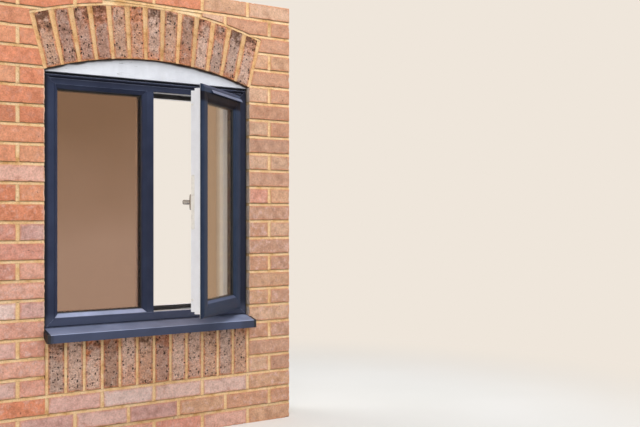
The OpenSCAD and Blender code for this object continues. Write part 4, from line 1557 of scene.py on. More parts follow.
@dataclass
class Arch(OuterLeaf):
    """Segmental arch of bricks on edge, fanned about one point, with wedge joints."""

    count: int = 13
    mortar_tone: str = "#efe6df"
    brick_w: float = 59.0
    fan_z: float = -208.08
    clays: tuple[Clay, ...] = (
        Clay.TAWNY, Clay.MAUVE, Clay.MAUVE, Clay.MAUVE, Clay.TAWNY, Clay.ORANGE, Clay.PALE, Clay.TAWNY, Clay.DARK,
        Clay.PALE, Clay.GREY, Clay.GREY, Clay.PALE,
    )

    def angle(self, i: float) -> float:
        """Lean of a voussoir's middle line, from the left skewback to the right one."""
        return self.skew - (i + 0.5) * 2 * self.skew / self.count

    def on_line(self, lean: float, side: Array | float, share: Array) -> tuple[Array, Array]:
        """Point beside a fan line: the share of the way between the places where it meets the ring's two circles.

        Args:
            lean: Angle of the line from upright, to the left.
            side: Distance from the line to the right.
            share: 0 on the arch's inner curve and 1 on its back.

        Returns:
            X and Z.
        """
        ahead = np.array([-math.sin(lean), math.cos(lean)])
        across = np.array([math.cos(lean), math.sin(lean)])
        start = np.array([0, self.fan_z - self.arch_z]) + np.multiply.outer(np.asarray(side, float), across)
        along = start @ ahead
        apart = (start**2).sum(-1)
        low, high = (-along + np.sqrt(along**2 - apart + r * r) for r in (self.arch_r, self.arch_r + self.ring))
        reach = low + share * (high - low)
        return start[..., 0] + reach * ahead[0], start[..., 1] + self.arch_z + reach * ahead[1]

    def build(self) -> None:
        """Builds the voussoirs and the joints between them and at the skewbacks."""
        bricks, joints = Shell(), Shell()
        half = self.brick_w / 2
        for i in range(self.count):
            def voussoir(s: Array, t: Array, lean: float = self.angle(i)) -> tuple[Array, Array]:
                """Straight sides beside the fan line, ends on the ring's circles."""
                return self.on_line(lean, (s - 0.5) * self.brick_w, t)

            rough = Weather(bow=0.7, grain=0.6, chip=4.5, sit=1.0, smoke_and_shade=float(1.1 * self.rng.random()))
            rough.blush = float(0.7 * self.rng.uniform(-1, 1))
            self.block(bricks, (self.brick_w, self.ring), voussoir, rough, self.colour([self.clays[i].value]), 0.5)
        for i in range(-1, self.count):
            left = (self.angle(i), half - self.lap) if i >= 0 else (self.skew, -8.0)
            right = (self.angle(i + 1), self.lap - half) if i + 1 < self.count else (-self.skew, 8.0)

            def wedge(s: Array, t: Array, left: tuple = left, right: tuple = right) -> tuple[Array, Array]:
                """Even blend between the two faces of the joint."""
                (xa, za), (xb, zb) = self.on_line(*left, t), self.on_line(*right, t)
                return xa + s * (xb - xa), za + s * (zb - za)

            self.joint_block(joints, (14.0, self.ring), wedge, 0)
        bricks.piece("arch_voussoirs", "brindled_brick", ["arch_bricks"], [self.finishes.brindled], False)
        joints.piece("arch_pointing", "mortar", ["arch_mortar"], [self.finishes.mortar], False)


@dataclass
class SoldierCourse(OuterLeaf):
    """Bricks on end under the sill with their joints."""

    count: int = 12
    foot_z: float = 225.0
    clays: tuple[Clay, ...] = (
        Clay.GREY, Clay.PALE, Clay.PALE, Clay.DARK, Clay.PALE, Clay.TAWNY, Clay.MAUVE, Clay.PALE, Clay.PALE,
        Clay.TAWNY, Clay.GREY, Clay.TAWNY,
    )

    def build(self) -> None:
        """Builds twelve bricks 65 mm wide and the thirteen joints between and beside them."""
        bricks, joints = Shell(), Shell()
        first = -self.half_open + self.joint
        for i in range(self.count):
            x0 = first + i * self.course_h
            place = self.straight(x0, x0 + self.brick_h, self.foot_z, self.foot_z + self.ring)
            # Smoke on the upper ends, which here also paints the shade under the sill
            rough = Weather(bow=0.7, grain=0.6, chip=4.0, sit=1.0, smoke_and_shade=float(0.7 * self.rng.random()))
            rough.blush = 0.95 if i == 2 else float(0.6 * self.rng.uniform(-1, 1))
            tint = tuple(1.12 * np.array(self.colour([self.clays[i].value])))
            self.block(bricks, (self.brick_h, self.ring), place, rough, tint, 0.6)
        for i in range(self.count + 1):
            x0 = first + i * self.course_h - self.joint
            place = self.straight(x0 - self.lap, x0 + self.joint + self.lap, self.foot_z - 1, self.foot_z + self.ring)
            self.joint_block(joints, (self.joint + 2 * self.lap, self.ring), place, 0)
        bricks.piece("soldier_bricks_on_end", "brindled_brick", ["soldier_bricks"], [self.finishes.brindled], False)
        joints.piece("soldier_pointing", "mortar", ["soldier_mortar"], [self.finishes.mortar], False)


FOIL, WHITE = 0, 1


@dataclass
class OuterFrame(Assembly):
    """Fixed frame: mitred bars with an inner leg, T mullion, seal and what closes it to the arch."""

    width: float = 900.0
    foot: float = 482.0
    top: float = 1473.0
    face_y: float = -31.25
    face_w: float = 36.0
    leg_w: float = 22.0
    leg_y: float = 52.0
    depth: float = 72.0
    mullion: tuple[float, float] = (-23.0, 7.0)

    @property
    def height(self) -> float:
        """Height of the frame."""
        return self.top - self.foot

    def place(self, points: Array) -> Array:
        """From the frame's lower left outer corner to the row's frame."""
        return points + np.array([-self.width / 2, self.face_y, self.foot])

    def section(self, groove: tuple[float, float] | None = None, deep: float = 0.0) -> Profile:
        """Section of a bar, with a groove in its face between two distances from its edge.

        Args:
            groove: The two distances.
            deep: Depth of the groove.

        Returns:
            The section.
        """
        a, b = groove or (10.0, 20.0)
        inner = self.face_w + self.leg_w
        return Profile(
            (
                (0, 0), (a, 0), (a, deep), (b, deep), (b, 0), (self.face_w, 0), (self.face_w, 14),
                (self.face_w, self.leg_y), (inner, self.leg_y), (inner, self.depth), (0, self.depth), (0, 20),
            ),
            (1.2, 0.8, 0.5, 0.5, 0.8, 1.6, 0.2, 1.5, 2.0, 2.0, 1.0, 0.2),
            (FOIL, FOIL, FOIL, FOIL, FOIL, FOIL, WHITE, WHITE, WHITE, WHITE, WHITE, FOIL),
        )

    def build(self) -> None:
        """Builds the bars, the mullion, the seal and the infill under the arch."""
        head, foot = (6.5, 14.0), (0.8, 5.0)
        bars = {
            "frame_head": (Side.TOP, MitredBar(self.section(head), self.section(head, 8.0), 15.0)),
            "frame_bottom": (Side.BOTTOM, MitredBar(self.section(foot), self.section(foot, 8.0), 15.0)),
            "frame_jamb_left": (Side.LEFT, MitredBar(self.section())),
            "frame_jamb_right": (Side.RIGHT, MitredBar(self.section())),
        }
        single_bars(bars, self.width, self.height, self.place, [self.finishes.foil, self.finishes.white])
        self.build_mullion()
        self.build_seal()
        self.build_infill()

    def build_mullion(self) -> None:
        """Builds the web between the rebates and the inner legs behind it, each a section carried upwards."""
        x0, x1 = self.mullion
        web = Profile(
            ((x0, 0), (x1, 0), (x1, 14), (x1, self.leg_y + 0.5), (x0, self.leg_y + 0.5), (x0, 14)),
            (1.5, 1.6, 0.2, 0.2, 0.2, 0.2),
            (FOIL, FOIL, WHITE, WHITE, WHITE, FOIL),
        )
        leg = self.leg_w
        legs = Profile(
            ((x0 - leg, self.leg_y), (x1 + leg, self.leg_y), (x1 + leg, self.depth), (x0 - leg, self.depth)),
            (2.0,) * 4,
            (WHITE,) * 4,
        )
        shell = Shell()
        for profile, end in ((web, self.face_w), (legs, self.face_w + leg)):
            outline, finish = profile.outline()
            rings = layered([(outline, z) for z in (self.foot + end, self.top - end)])
            shell.add(*skin(rings + (0, self.face_y, 0), finish))
        shell.piece("mullion_bar", "anthracite_upvc", ["mullion"], [self.finishes.foil, self.finishes.white])

    def build_seal(self) -> None:
        """Builds the bulb seal on the inner legs round the opening: a mitred bar with a raised lip."""
        seal = Profile(
            ((0.3, -3), (6, -1.2), (12, -3), (18, -2.2), (19.8, -0.8), (20, 0), (0.3, 0)),
            (0.8, 1.0, 1.2, 1.2, 0.6, 0.2, 0.2),
        )
        width = self.width / 2 - self.face_w - self.mullion[1]
        height = self.height - 2 * self.face_w
        base = np.array([self.mullion[1], self.face_y + self.leg_y, self.foot + self.face_w])
        shell = Shell()
        mitred(shell, [MitredBar(seal, weld=0.1)], width, height, lambda points: points + base)
        shell.piece("frame_seal", "gasket_rubber", ["frame_gasket"], [self.finishes.rubber])

    def build_infill(self) -> None:
        """Builds the white sheet between the frame and the arch: a tray whose top follows the arch."""
        low, half, radius, centre, tall = 1484.5, 454.0, 1416.67, 147.33, 80.0
        points, blocks = tray(2 * half, tall, 24.0, 4.0, 1.2)
        u, v, y = points.T
        x = -half + u
        top = centre + np.sqrt(radius**2 - x**2)
        z = low + v / tall * (top - low)
        spots = np.column_stack([x, y, z])
        y = y + np.where(y < 12, 0.35 + 0.35 * layered_noise(spots, 120, 3, 2), 0)
        # Painted shadow of the arch: the mark's alpha grows over the top 8.5 mm of the sheet
        arch_shadow = 0.95 * ease(z - top + 3 * layered_noise(spots, 40, 9, 2), -8.5, -2.5)
        shell = Shell()
        mark = np.column_stack([np.zeros((len(x), 3)), arch_shadow])
        shell.add(np.column_stack([x, self.face_y + y, z]), blocks, mark=mark)
        shell.piece("infill_sheet", "white_upvc", ["infill_panel"], [self.finishes.panel])


@dataclass
class GlassUnit:
    """Sealed unit: two sheets, the spacer between them and the seals on both sides."""

    width: float
    height: float
    reach: float
    sheet: float = 4.0
    gap: float = 16.0
    place: Move = still

    def sheets(self, shell: Shell) -> None:
        """Adds both sheets as boxes with ground edges."""
        for y in (0.0, self.sheet + self.gap):
            shell.lay(soft_box((0, y, 0), (self.width, y + self.sheet, self.height), 0.5), self.place)

    def spacer(self, shell: Shell) -> None:
        """Adds the spacer: a mitred bar 8 mm wide between the sheets, 2 mm inside their edges.

        Args:
            shell: Where it goes.
        """
        a, b = self.sheet, self.sheet + self.gap
        bar = MitredBar(Profile(((2, a), (10, a), (10, b), (2, b)), (0.6,) * 4), weld=0.2)
        mitred(shell, [bar], self.width, self.height, self.place)

    def seals(self, shell: Shell) -> None:
        """Adds the seals on both outer faces, each with a thin lip towards the glass.

        Args:
            shell: Where they go.
        """
        far, tip, lip = 2 * self.sheet + self.gap, self.reach, self.reach - 2
        front = Profile(((0, -3), (lip, -3), (tip, -0.8), (tip, 0), (0, 0)), (0.2, 1, 0.4, 0.2, 0.2))
        rear = ((0, far), (tip, far), (tip, far + 0.8), (lip, far + 3), (0, far + 3))
        bars = [MitredBar(profile, weld=0.1) for profile in (front, Profile(rear, (0.2, 0.2, 0.4, 1, 0.2)))]
        mitred(shell, bars, self.width, self.height, self.place)


@dataclass
class Casement(Assembly):
    """Opening light, hung on its right side and standing open at 39 degrees."""

    width: float = 423.0
    height: float = 935.0
    foot: float = 510.0
    hinge: tuple[float, float] = (414.0, -56.75)
    turn: float = math.radians(39)
    bar_w: float = 54.0
    lock_z: float = 464.0
    lock_y: float = 54.5
    lock_x: float = 24.0
    plate_t: float = 2.5
    screws_z: tuple[float, ...] = (-92.0, -60.0, 60.0, 92.0)

    def place(self, points: Array) -> Array:
        """From the casement's lock edge and outer face to the open light: turned about the hinge corner.

        Args:
            points: Distances from the lock edge, behind the outer face and above the foot.

        Returns:
            Points in the row's frame.
        """
        x, y, z = (points - np.array([self.width, 0, 0])).T
        c, s = math.cos(self.turn), math.sin(self.turn)
        return np.column_stack([self.hinge[0] + x * c - y * s, self.hinge[1] + x * s + y * c, self.foot + z])

    def section(self) -> Profile:
        """Section of a bar: bevelled lip, face that falls to the bead, inner leg and two steps on the outside.

        Returns:
            The section.
        """
        wide, leg, step = self.bar_w, self.bar_w + 11, self.lock_x
        return Profile(
            (
                (0, 5), (12, 0), (35, 0), (wide, 4), (wide, 44), (leg, 44), (leg, 64), (step, 64), (step, 45), (16, 45),
                (16, 15), (0, 15),
            ),
            (2.2, 3.0, 3.0, 1.0, 0.5, 2.0, 2.0, 1.5, 1.0, 1.0, 1.0, 1.5),
            (FOIL, FOIL, FOIL, FOIL, WHITE, WHITE, WHITE, WHITE, WHITE, WHITE, WHITE, FOIL),
        )

    def build(self) -> None:
        """Builds the bars, the drip bar, the lock's strip with its studs and the handle."""
        bar = MitredBar(self.section())
        bars = {
            "sash_top_rail": (Side.TOP, bar),
            "sash_bottom_rail": (Side.BOTTOM, bar),
            "sash_hinge_stile": (Side.RIGHT, bar),
            "sash_lock_stile": (Side.LEFT, bar),
        }
        single_bars(bars, self.width, self.height, self.place, [self.finishes.casement_shaded, self.finishes.white])
        self.build_drip()
        self.build_lock()
        self.build_handle()

    def build_drip(self) -> None:
        """Builds the drip bar: its section carried along the top rail."""
        drip = Profile(((921, 0), (907, -9), (905, -7), (909, 0)), (0.6, 0.8, 0.4, 0.3))
        outline, finish = drip.outline()
        shell = Shell()
        shell.lay(skin(layered([(outline, x) for x in (85, 85.6, 419.4, 420)], (2, 1, 0)), finish), self.place)
        shell.piece("drip_strip", "anthracite_upvc", ["drip_bar"], [self.finishes.skylit])

    def build_lock(self) -> None:
        """Builds the face plate with round ends, its screws, and the mushroom studs.

        The outer studs stand on the bar, so their shanks are longer by the plate's thickness.
        """
        wide, long, thick = 16.0, 220.0, self.plate_t
        strip = plate(stadium(long - wide, wide), 0.0, thick, 0.5)
        stud = turned([(2.6, 0), (2.6, 3.2), (4.0, 3.8), (4.5, 4.6), (4.2, 5.6), (2.6, 6.0)])
        tall_stud = stud + (0, 0, thick) * (stud[:, :1, 2:] > 0.1)
        screw = turned([(3.4, -0.1), (3.4, 0.5), (2.6, 0.9), (1.2, 0.9), (1.0, 0.4)])
        shell = Shell()
        shell.lay(skin(self.on_edge(strip, (2, 1, 0), 0, (wide - long) / 2)), self.place)
        for z, form, out in ((-390, tall_stud, 0), (-30, stud, thick), (30, stud, thick), (390, tall_stud, 0)):
            shell.lay(skin(self.on_edge(form, (2, 0, 1), out, z)), self.place)
        for z in self.screws_z:
            shell.lay(skin(self.on_edge(screw, (2, 0, 1), thick, z)), self.place)
        shell.piece("lock_face_plate", "lock_steel", ["lock_strip"], [self.finishes.lock])

    def on_edge(self, rings: Array, axes: tuple[int, int, int], out: float, z: float) -> Array:
        """Turns upright rings, by their axes, to stand out of the lock edge, from a distance and at a height on it."""
        return rings[..., axes] * (-1, 1, 1) + (self.lock_x - out, self.lock_y, self.lock_z + z)

    def build_handle(self) -> None:
        """Builds the rose, the neck and the lever.

        The rose's outline is an oval with |cos| and |sin| raised to 0.4. The lever is a flat ellipse carried along
        its length: its width falls off in a quarter circle at the heel and at the tip, and its thickness with the
        root of the width and by 12 % towards the tip.
        """
        shell = Shell()
        origin = np.array([44.5, 64.0, self.lock_z])
        corner = circle(1.0, 48)
        oval = np.sign(corner) * np.abs(corner) ** 0.4
        layers = [(14.0, 32.0, 0.0), (14.0, 32.0, 6.5), (13.2, 31.2, 9.3), (11.0, 29.0, 10.8), (8.0, 24.0, 11.0)]
        rose = layered([(oval * (a, b), y) for a, b, y in layers], (0, 2, 1))
        neck = turned([(9.0, 10.5), (9.0, 14), (7.6, 20), (7.6, 28), (9.0, 34), (9.0, 38)], 32)[..., [0, 2, 1]]
        t = np.linspace(0, 1, 26)
        ends = [np.clip(part, 0, 1) for part in ((12 - 120 * t) / 12, (118 * t - 108) / 10)]
        heel, tip = (np.sqrt(np.clip(1 - end**2, 0.02, 1)) for end in ends)
        wide = 10 * heel * tip
        thick = 5.5 * (wide / 10) ** 0.5 * (1 - 0.12 * t)
        ring = circle(1.0, 32)
        sizes = zip(-10 + 118 * t, wide, thick)
        lever = layered([(ring * (b, c) + (0, 39.5), x) for x, b, c in sizes], (2, 1, 0))
        for rings in (rose, neck, lever):
            shell.lay(skin(rings), lambda points: self.place(points + origin))
        shell.piece("lever_handle", "white_handle", ["handle"], [self.finishes.handle], False)


@dataclass
class Glazing(Assembly):
    """Glass units and the beads that hold them, in the fixed light and in the casement."""

    outer: OuterFrame
    casement: Casement
    fixed_w: float = 391.0
    fixed_h: float = 919.0
    play: float = 4.0

    def build(self) -> None:
        """Builds the beads, the glass, the spacers and the seals."""
        outer, casement, play = self.outer, self.casement, self.play
        corner = np.array([outer.face_w - outer.width / 2, outer.face_y, outer.foot + outer.face_w])
        inset = casement.bar_w
        inner_w, inner_h = casement.width - 2 * inset, casement.height - 2 * inset

        def fixed(points: Array) -> Array:
            """From the fixed light's lower left corner to the row's frame."""
            return points + corner

        def hung(points: Array) -> Array:
            """From the lower left corner inside the casement's bars to the row's frame."""
            return casement.place(points + (inset, 0, inset))

        corners = (0, 0), (0, -1.1), (1.5, -1.1), (16.5, 12), (16.5, 22), (0, 22)
        bead = Profile(corners, (0.2, 0.5, 0.5, 2.2, 0.5, 0.3))
        shell = Shell()
        mitred(shell, [MitredBar(bead)], self.fixed_w, self.fixed_h, fixed)
        shell.piece("fixed_light_beads", "anthracite_upvc", ["fixed_beads"], [self.finishes.foil])
        bead = Profile(((0, 4), (11, 12), (11, 14), (0, 14)), (0.5, 1.4, 0.3, 0.3))
        shell = Shell()
        mitred(shell, [MitredBar(bead)], inner_w, inner_h, hung)
        shell.piece("casement_beads", "anthracite_upvc", ["sash_beads"], [self.finishes.casement_shaded])

        def unit(size: tuple[float, float], reach: float, back: float, move: Move) -> GlassUnit:
            """Unit that lies with its play inside a rectangle, at a distance behind its face."""
            width, height = (length - 2 * play for length in size)
            return GlassUnit(width, height, reach, place=lambda points: move(points + (play, back, play)))

        units = {
            "fixed_glass": (unit((self.fixed_w, self.fixed_h), 15.5, 25, fixed), self.finishes.glass),
            "sash_glass": (unit((inner_w, inner_h), 10.0, 17, hung), self.finishes.open_glass),
        }
        spacers, seals = Shell(), Shell()
        for node, (pane, finish) in units.items():
            glass = Shell()
            pane.sheets(glass)
            glass.piece(node + "_unit", "glass", [node], [finish])
            pane.spacer(spacers)
            pane.seals(seals)
        spacers.piece("spacer_bars", "warm_edge_spacer", ["glass_spacers"], [self.finishes.spacer])
        seals.piece("glazing_seals", "gasket_rubber", ["glass_gaskets"], [self.finishes.rubber])


@dataclass
class Sill(Assembly):
    """Sloping plastic sill with end caps on its mortar bed."""

    half: float = 452.0
    cap: float = 3.0
    ear: float = 12.0
    nose_y: float = -101.25
    drip_y: float = -85.25
    wall_y: float = -53.25
    seat_y: float = -23.25
    back_y: float = 40.75
    nose_z: tuple[float, float] = (428.55, 462.55)
    seat_z: tuple[float, float] = (452.0, 482.0)

    def section(self, under: float) -> Profile:
        """Section in Y and Z: nose, sloping top and seat, with the nose's foot joined to the wall at under.

        Args:
            under: Place behind the nose where the underside reaches the seat's height.

        Returns:
            The section.
        """
        (foot, nose), (low, high) = self.nose_z, self.seat_z
        return Profile(
            (
                (self.nose_y, foot), (self.drip_y, foot), (under, low), (self.back_y, low), (self.back_y, high),
                (self.seat_y, high), (self.nose_y, nose),
            ),
            (1.5, 1.0, 0.8, 0.5, 0.5, 1.0, 4.5),
        )

    def build(self) -> None:
        """Builds the sill as its section carried along X, and the two caps, each a cover and an ear in the joint."""
        shell = Shell()
        outline, finish = self.section(self.drip_y + 0.05).outline(4)
        shell.add(*skin(layered([(outline, -self.half), (outline, self.half)], (2, 0, 1)), finish))
        shell.piece("sill_board", "anthracite_upvc", ["sill"], [self.finishes.foil])
        (foot, nose), low = self.nose_z, self.seat_z[0]
        ear = Profile(
            ((self.nose_y, foot), (self.drip_y, foot), (self.wall_y, low), (self.wall_y, 474.52), (self.nose_y, nose)),
            (1.5, 1.0, 0.8, 0.8, 3.5),
        )
        shell = Shell()
        for sign in (-1, 1):
            for section, low, high in ((self.section(self.wall_y), -0.2, self.cap), (ear, self.cap - 1, self.ear)):
                outline, finish = section.outline(4)
                small = outline.mean(0) + (outline - outline.mean(0)) * 0.98
                layers = (outline, low), (outline, high - 0.9), (small, high)
                rings = layered([(flat, sign * (self.half + x)) for flat, x in layers], (2, 0, 1))
                shell.add(*skin(rings, finish))
        shell.piece("sill_end_caps", "anthracite_upvc", ["sill_caps"], [self.finishes.cap])


@dataclass
class Ironmongery(Assembly):
    """Friction stays at the casement's head and foot, and the keeps on the mullion."""

    casement: Casement
    face_y: float = -31.25
    foot: float = 518.0
    top: float = 1437.0
    keeps_z: tuple[float, ...] = (-355.0, 0.0, 355.0)

    def link(self, a: tuple, b: tuple, width: float, low: float, high: float) -> Array:
        """Rings of a flat bar with round ends between two points in plan.

        Args:
            a: One point.
            b: The other.
            width: Bar's width.
            low: Lower face's level.
            high: Upper face's level.

        Returns:
            Rings for skin.
        """
        a, b = np.array(a), np.array(b)
        length = float(np.linalg.norm(b - a))
        ahead = (b - a) / length
        rings = plate(stadium(length, width), low, high, 0.4)
        side = np.array([-ahead[1], ahead[0]])
        plan = a + rings[..., :1] * ahead + rings[..., 1:2] * side
        return np.concatenate([plan, rings[..., 2:]], -1)

    def on_bar(self, reach: float) -> tuple[float, float]:
        """Place in plan of a point on the casement's bar, by its distance from the hinge edge."""
        spot = self.casement.place(np.array([[self.casement.width - reach, self.casement.lock_y, 0.0]]))[0]
        return float(spot[0]), float(spot[1])

    def build(self) -> None:
        """Builds both stays, the upper one upside down, and the three keeps."""
        for node, base, up in (("stay_bottom", self.foot, 1), ("stay_top", self.top, -1)):
            shell = Shell()
            for rings in self.stay():
                shell.add(*skin(rings * (1, 1, up) + (0, 0, base)))
            shell.piece(node + "_hinge", "stay_steel", [node], [self.finishes.stay])
        plate_box = (7, 0.75, -17), (9.4, 17.25, 17)
        lugs = ((9.0, 0.25, -12), (13, 4.2, 12)), ((9.0, 13.8, -12), (13, 17.75, 12))
        middle = self.casement.foot + self.casement.lock_z
        shell = Shell()
        for z in self.keeps_z:
            for low, high in (plate_box, *lugs):
                points, blocks = soft_box(low, high, 0.8)
                shell.add(points + (0, self.face_y + 30.5, middle + z), blocks)
        shell.piece("striker_keeps", "keep_metal", ["lock_keeps"], [self.finishes.keep])

    def stay(self) -> list[Array]:
        """Track, bar, two arms and four rivets, with Z from the rebate upwards.

        Returns:
            Rings of each part.
        """
        y = self.face_y + 39.5
        pivots = [(389.0, y), (322.0, y)]
        joints = [self.on_bar(40), self.on_bar(200)]
        left, right, half, lip = 156.0, 406.0, 9.0, 2.4
        parts = [plate(rectangle((left, y - half), (right, y + half), 6), 0, 1.2, 0.3)]
        for edge in (-half, half - lip):
            parts.append(plate(rectangle((left, y + edge), (right, y + edge + lip), 6), 0.8, 3, 0.3))
        parts.append(self.link(self.on_bar(30), self.on_bar(230), 18, 13, 16))
        for a, b in zip(pivots, joints):
            parts.append(self.link(a, b, 16, 8.5, 12))
            parts.append(turned([(5, 0.5), (5, 8.6), (5, 12.3), (3.6, 12.9)]) + (*a, 0))
            parts.append(turned([(3.6, 7.8), (5, 8.4), (5, 13.2)]) + (*b, 0))
        return parts


@dataclass
class RoomSide(Assembly):
    """Window board, plaster, blocks and wool behind the outer leaf."""

    half: float = 670.0
    wall_h: float = 1865.0
    half_open: float = 455.0
    reveal: float = 442.0
    foot: float = 486.0
    soffit: float = 1490.0
    lintel: tuple[float, float, float] = (605.0, 1503.0, 1643.0)
    course_h: float = 225.0
    joint: float = 10.0
    pitch: float = 450.0
    split: float = 562.0
    wool_y: tuple[float, float] = (51.25, 126.25)
    block_y: tuple[float, float] = (126.25, 226.25)
    skim_y: tuple[float, float] = (226.25, 239.25)
    frame_back: float = 40.75

    def build(self) -> None:
        """Builds the board, blocks, wool and plaster, and dresses the CAD nodes whose shape is right."""
        self.build_board()
        self.build_blocks()
        self.build_wool()
        self.build_plaster()
        looks = {
            "lintel": self.finishes.concrete, "sill_bed": self.finishes.mortar, "side_seals": self.finishes.sealant,
            "head_strip": self.finishes.shaded,
        }
        for node, finish in looks.items():
            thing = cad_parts[node]
            for slot in thing.material_slots:
                slot.material = finish
            LOG.info("%s: dressed", node)

    def block_boxes(self) -> list[tuple[float, float, float, float]]:
        """Left, right, foot and top of each block: 440 by 215 mm in half bond, cut at the opening and the lintel.

        Courses 0, 1 and 8 run through, 2 is cut under the opening, and 6 and 7 are cut beside and over the lintel.

        Returns:
            The boxes, course by course.
        """
        end, inner, edge, pitch = self.half, self.half_open, self.joint / 2, self.pitch
        near, far = pitch / 2 - edge, pitch / 2 + edge
        reach, low, high = self.lintel
        boxes = []
        for course in range(9):
            z0 = course * self.course_h
            z1 = min(z0 + self.course_h - self.joint, self.wall_h)
            whole = [(-end, -far), (-near, near), (far, end)]
            halves = [(-end, -inner), (edge - pitch, -edge), (edge, pitch - edge), (inner, end)]
            if course in (0, 1, 8):
                boxes += [(a, b, z0, z1) for a, b in (whole, halves)[course % 2]]
                continue
            if course == 2:
                spans = (edge - pitch, -far), (-near, near), (far, pitch - edge)
                boxes += [(a, b, z0, self.foot) for a, b in spans]
            if course == 7:
                boxes += [(a, b, high, z1) for a, b in ((-reach, -far), (-near, near), (far, reach))]
            cuts = [(inner, end)] if course % 2 == 0 else [(inner, self.split - edge), (self.split + edge, end)]
            spans = [(a, b, z0, z1) for a, b in cuts]
            if course == 6:
                spans = [(inner, reach - 2, z0, low), (reach + 2, end, z0, z1)]
            if course == 7:
                spans = [(reach + 2, end, z0, z1)]
            boxes += spans + [(-b, -a, c, d) for a, b, c, d in spans]
        return boxes

    def build_blocks(self) -> None:
        """Builds the aerated blocks with eased edges, and the mortar that stands 2 mm back between them."""
        blocks, joints = Shell(), Shell()
        y0, y1 = self.block_y
        for number, (a, b, c, d) in enumerate(self.block_boxes()):
            points, faces = soft_box((a, y0 + 0.3, c), (b, y1 - 0.3, d), 2.0)
            shade = 1.0 - 0.07 * ((number * 7) % 5) / 4
            blocks.add(points, faces, tint=(shade, shade, shade, 1.0))
        end, inner, (_, low, high) = self.half - 2, self.half_open, self.lintel
        fills = [(inner, end, 2, low), (self.lintel[0], end, low, high), (inner, end, high, self.wall_h - 2)]
        fills += [(-b, -a, c, d) for a, b, c, d in fills]
        fills += [(-inner, inner, 2, self.foot - 1), (-inner, inner, high, self.wall_h - 2)]
        for a, b, c, d in fills:
            joints.add(*soft_box((a, y0 + 0.6, c), (b, y1 - 0.6, d), 0.5))
        nodes = ["blockwork_sides", "blockwork_middle"]
        blocks.piece("inner_leaf_blocks", "block", nodes, [self.finishes.block])
        joints.piece("inner_leaf_joints", "mortar", nodes, [self.finishes.cement])

    def batt(self, low: tuple, high: tuple, cell: float) -> tuple[Array, list[Array]]:
        """One wool batt.

        The skin of its box, each point pulled in across the faces that it lies on by 1.2 mm, plus 1.6 mm of noise,
        plus 6 mm in a bell curve at every 600 mm of height, where two batts meet.

        Args:
            low: Lowest corner.
            high: Highest corner.
            cell: Side of the lattice's cells.

        Returns:
            Points and the face blocks.
        """
        low, high = np.array(low, float), np.array(high, float)
        counts = np.maximum(2, np.round((high - low) / cell)).astype(int) + 1
        points, faces = box_skin(tuple(np.linspace(low[k], high[k], counts[k]) for k in range(3)))
        seam = (points[:, 2] + 300) % 600 - 300
        pull = 1.2 + 1.6 * np.abs(layered_noise(points * (1, 2, 1), 14, 71)) + 6 * np.exp(-((seam / 5) ** 2))
        inward = (points <= low + 0.01).astype(float) - (points >= high - 0.01)
        return points + inward * pull[:, None] * (1, 0.2, 1), faces

    def build_wool(self) -> None:
        """Builds the batts beside, under and over the opening."""
        (y0, y1), inner, end = self.wool_y, self.half_open, self.half
        shell = Shell()
        for sign in (-1, 1):
            a, b = sorted((sign * inner, sign * end))
            shell.add(*self.batt((a, y0, 0), (b, y1, self.wall_h), 9.0))
        shell.add(*self.batt((-inner, y0, self.lintel[1]), (inner, y1, self.wall_h), 10.0))
        shell.add(*self.batt((-inner, y0, 0), (inner, y1, self.foot), 30.0))
        nodes = ["insulation_sides", "insulation_middle"]
        shell.piece("cavity_wool_batts", "mineral_wool", nodes, [self.finishes.wool], False)

    @staticmethod
    def loop(half: float, foot: float, top: float, y: float) -> Array:
        """Rectangle in X and Z with 24 even steps on each side, all at one Y."""
        return layered([(rectangle((-half, foot), (half, top), 24), y)], (0, 2, 1))[0]

    def build_plaster(self) -> None:
        """Builds the skim as rectangles carried round its section.

        They go out along the reveal, round its arris on a quarter circle of 3 mm, over the wall's face to its edge,
        and back behind. The face waves by 0.45 mm in layered noise.
        """
        (y0, y1), bead = self.skim_y, 3.0
        foot = self.foot + 0.6
        rings = [self.loop(self.reveal, foot, self.soffit, y) for y in (self.frame_back, y1 - bead)]
        for turn in np.linspace(0.2, 1.0, 5) * math.pi / 2:
            grow, y = bead * (1 - math.cos(turn)), y1 - bead + bead * math.sin(turn)
            rings.append(self.loop(self.reveal + grow, foot - grow * 0.2, self.soffit + grow, y))
        near, far = rings[-1], self.loop(self.half - 1, 1, self.wall_h - 1, y1)
        rings += [near + (far - near) * t for t in np.linspace(0.1, 1, 10)]
        rings += [self.loop(self.half, 0, self.wall_h, y) for y in (y1 - 1, y0 + 0.2)]
        rings += [self.loop(self.half_open - 0.2, self.foot, self.lintel[1], y) for y in (y0 + 0.2, self.frame_back)]
        grid = np.stack(rings)
        wave = 0.45 * np.abs(layered_noise(grid.reshape(-1, 3), 180, 91, 2)).reshape(grid.shape[:2])
        grid[..., 1] -= np.where(grid[..., 1] > y1 - 0.5, wave, 0)
        number = np.arange(grid.shape[0] * grid.shape[1]).reshape(grid.shape[:2])
        over = np.roll(number, -1, 0)
        quads = np.stack([number, np.roll(number, -1, 1), np.roll(over, -1, 1), over], -1).reshape(-1, 4)
        shell = Shell()
        shell.add(grid.reshape(-1, 3), [quads])
        shell.piece("plaster_skim", "plaster", ["plaster_sides", "plaster_middle"], [self.finishes.plaster], False)

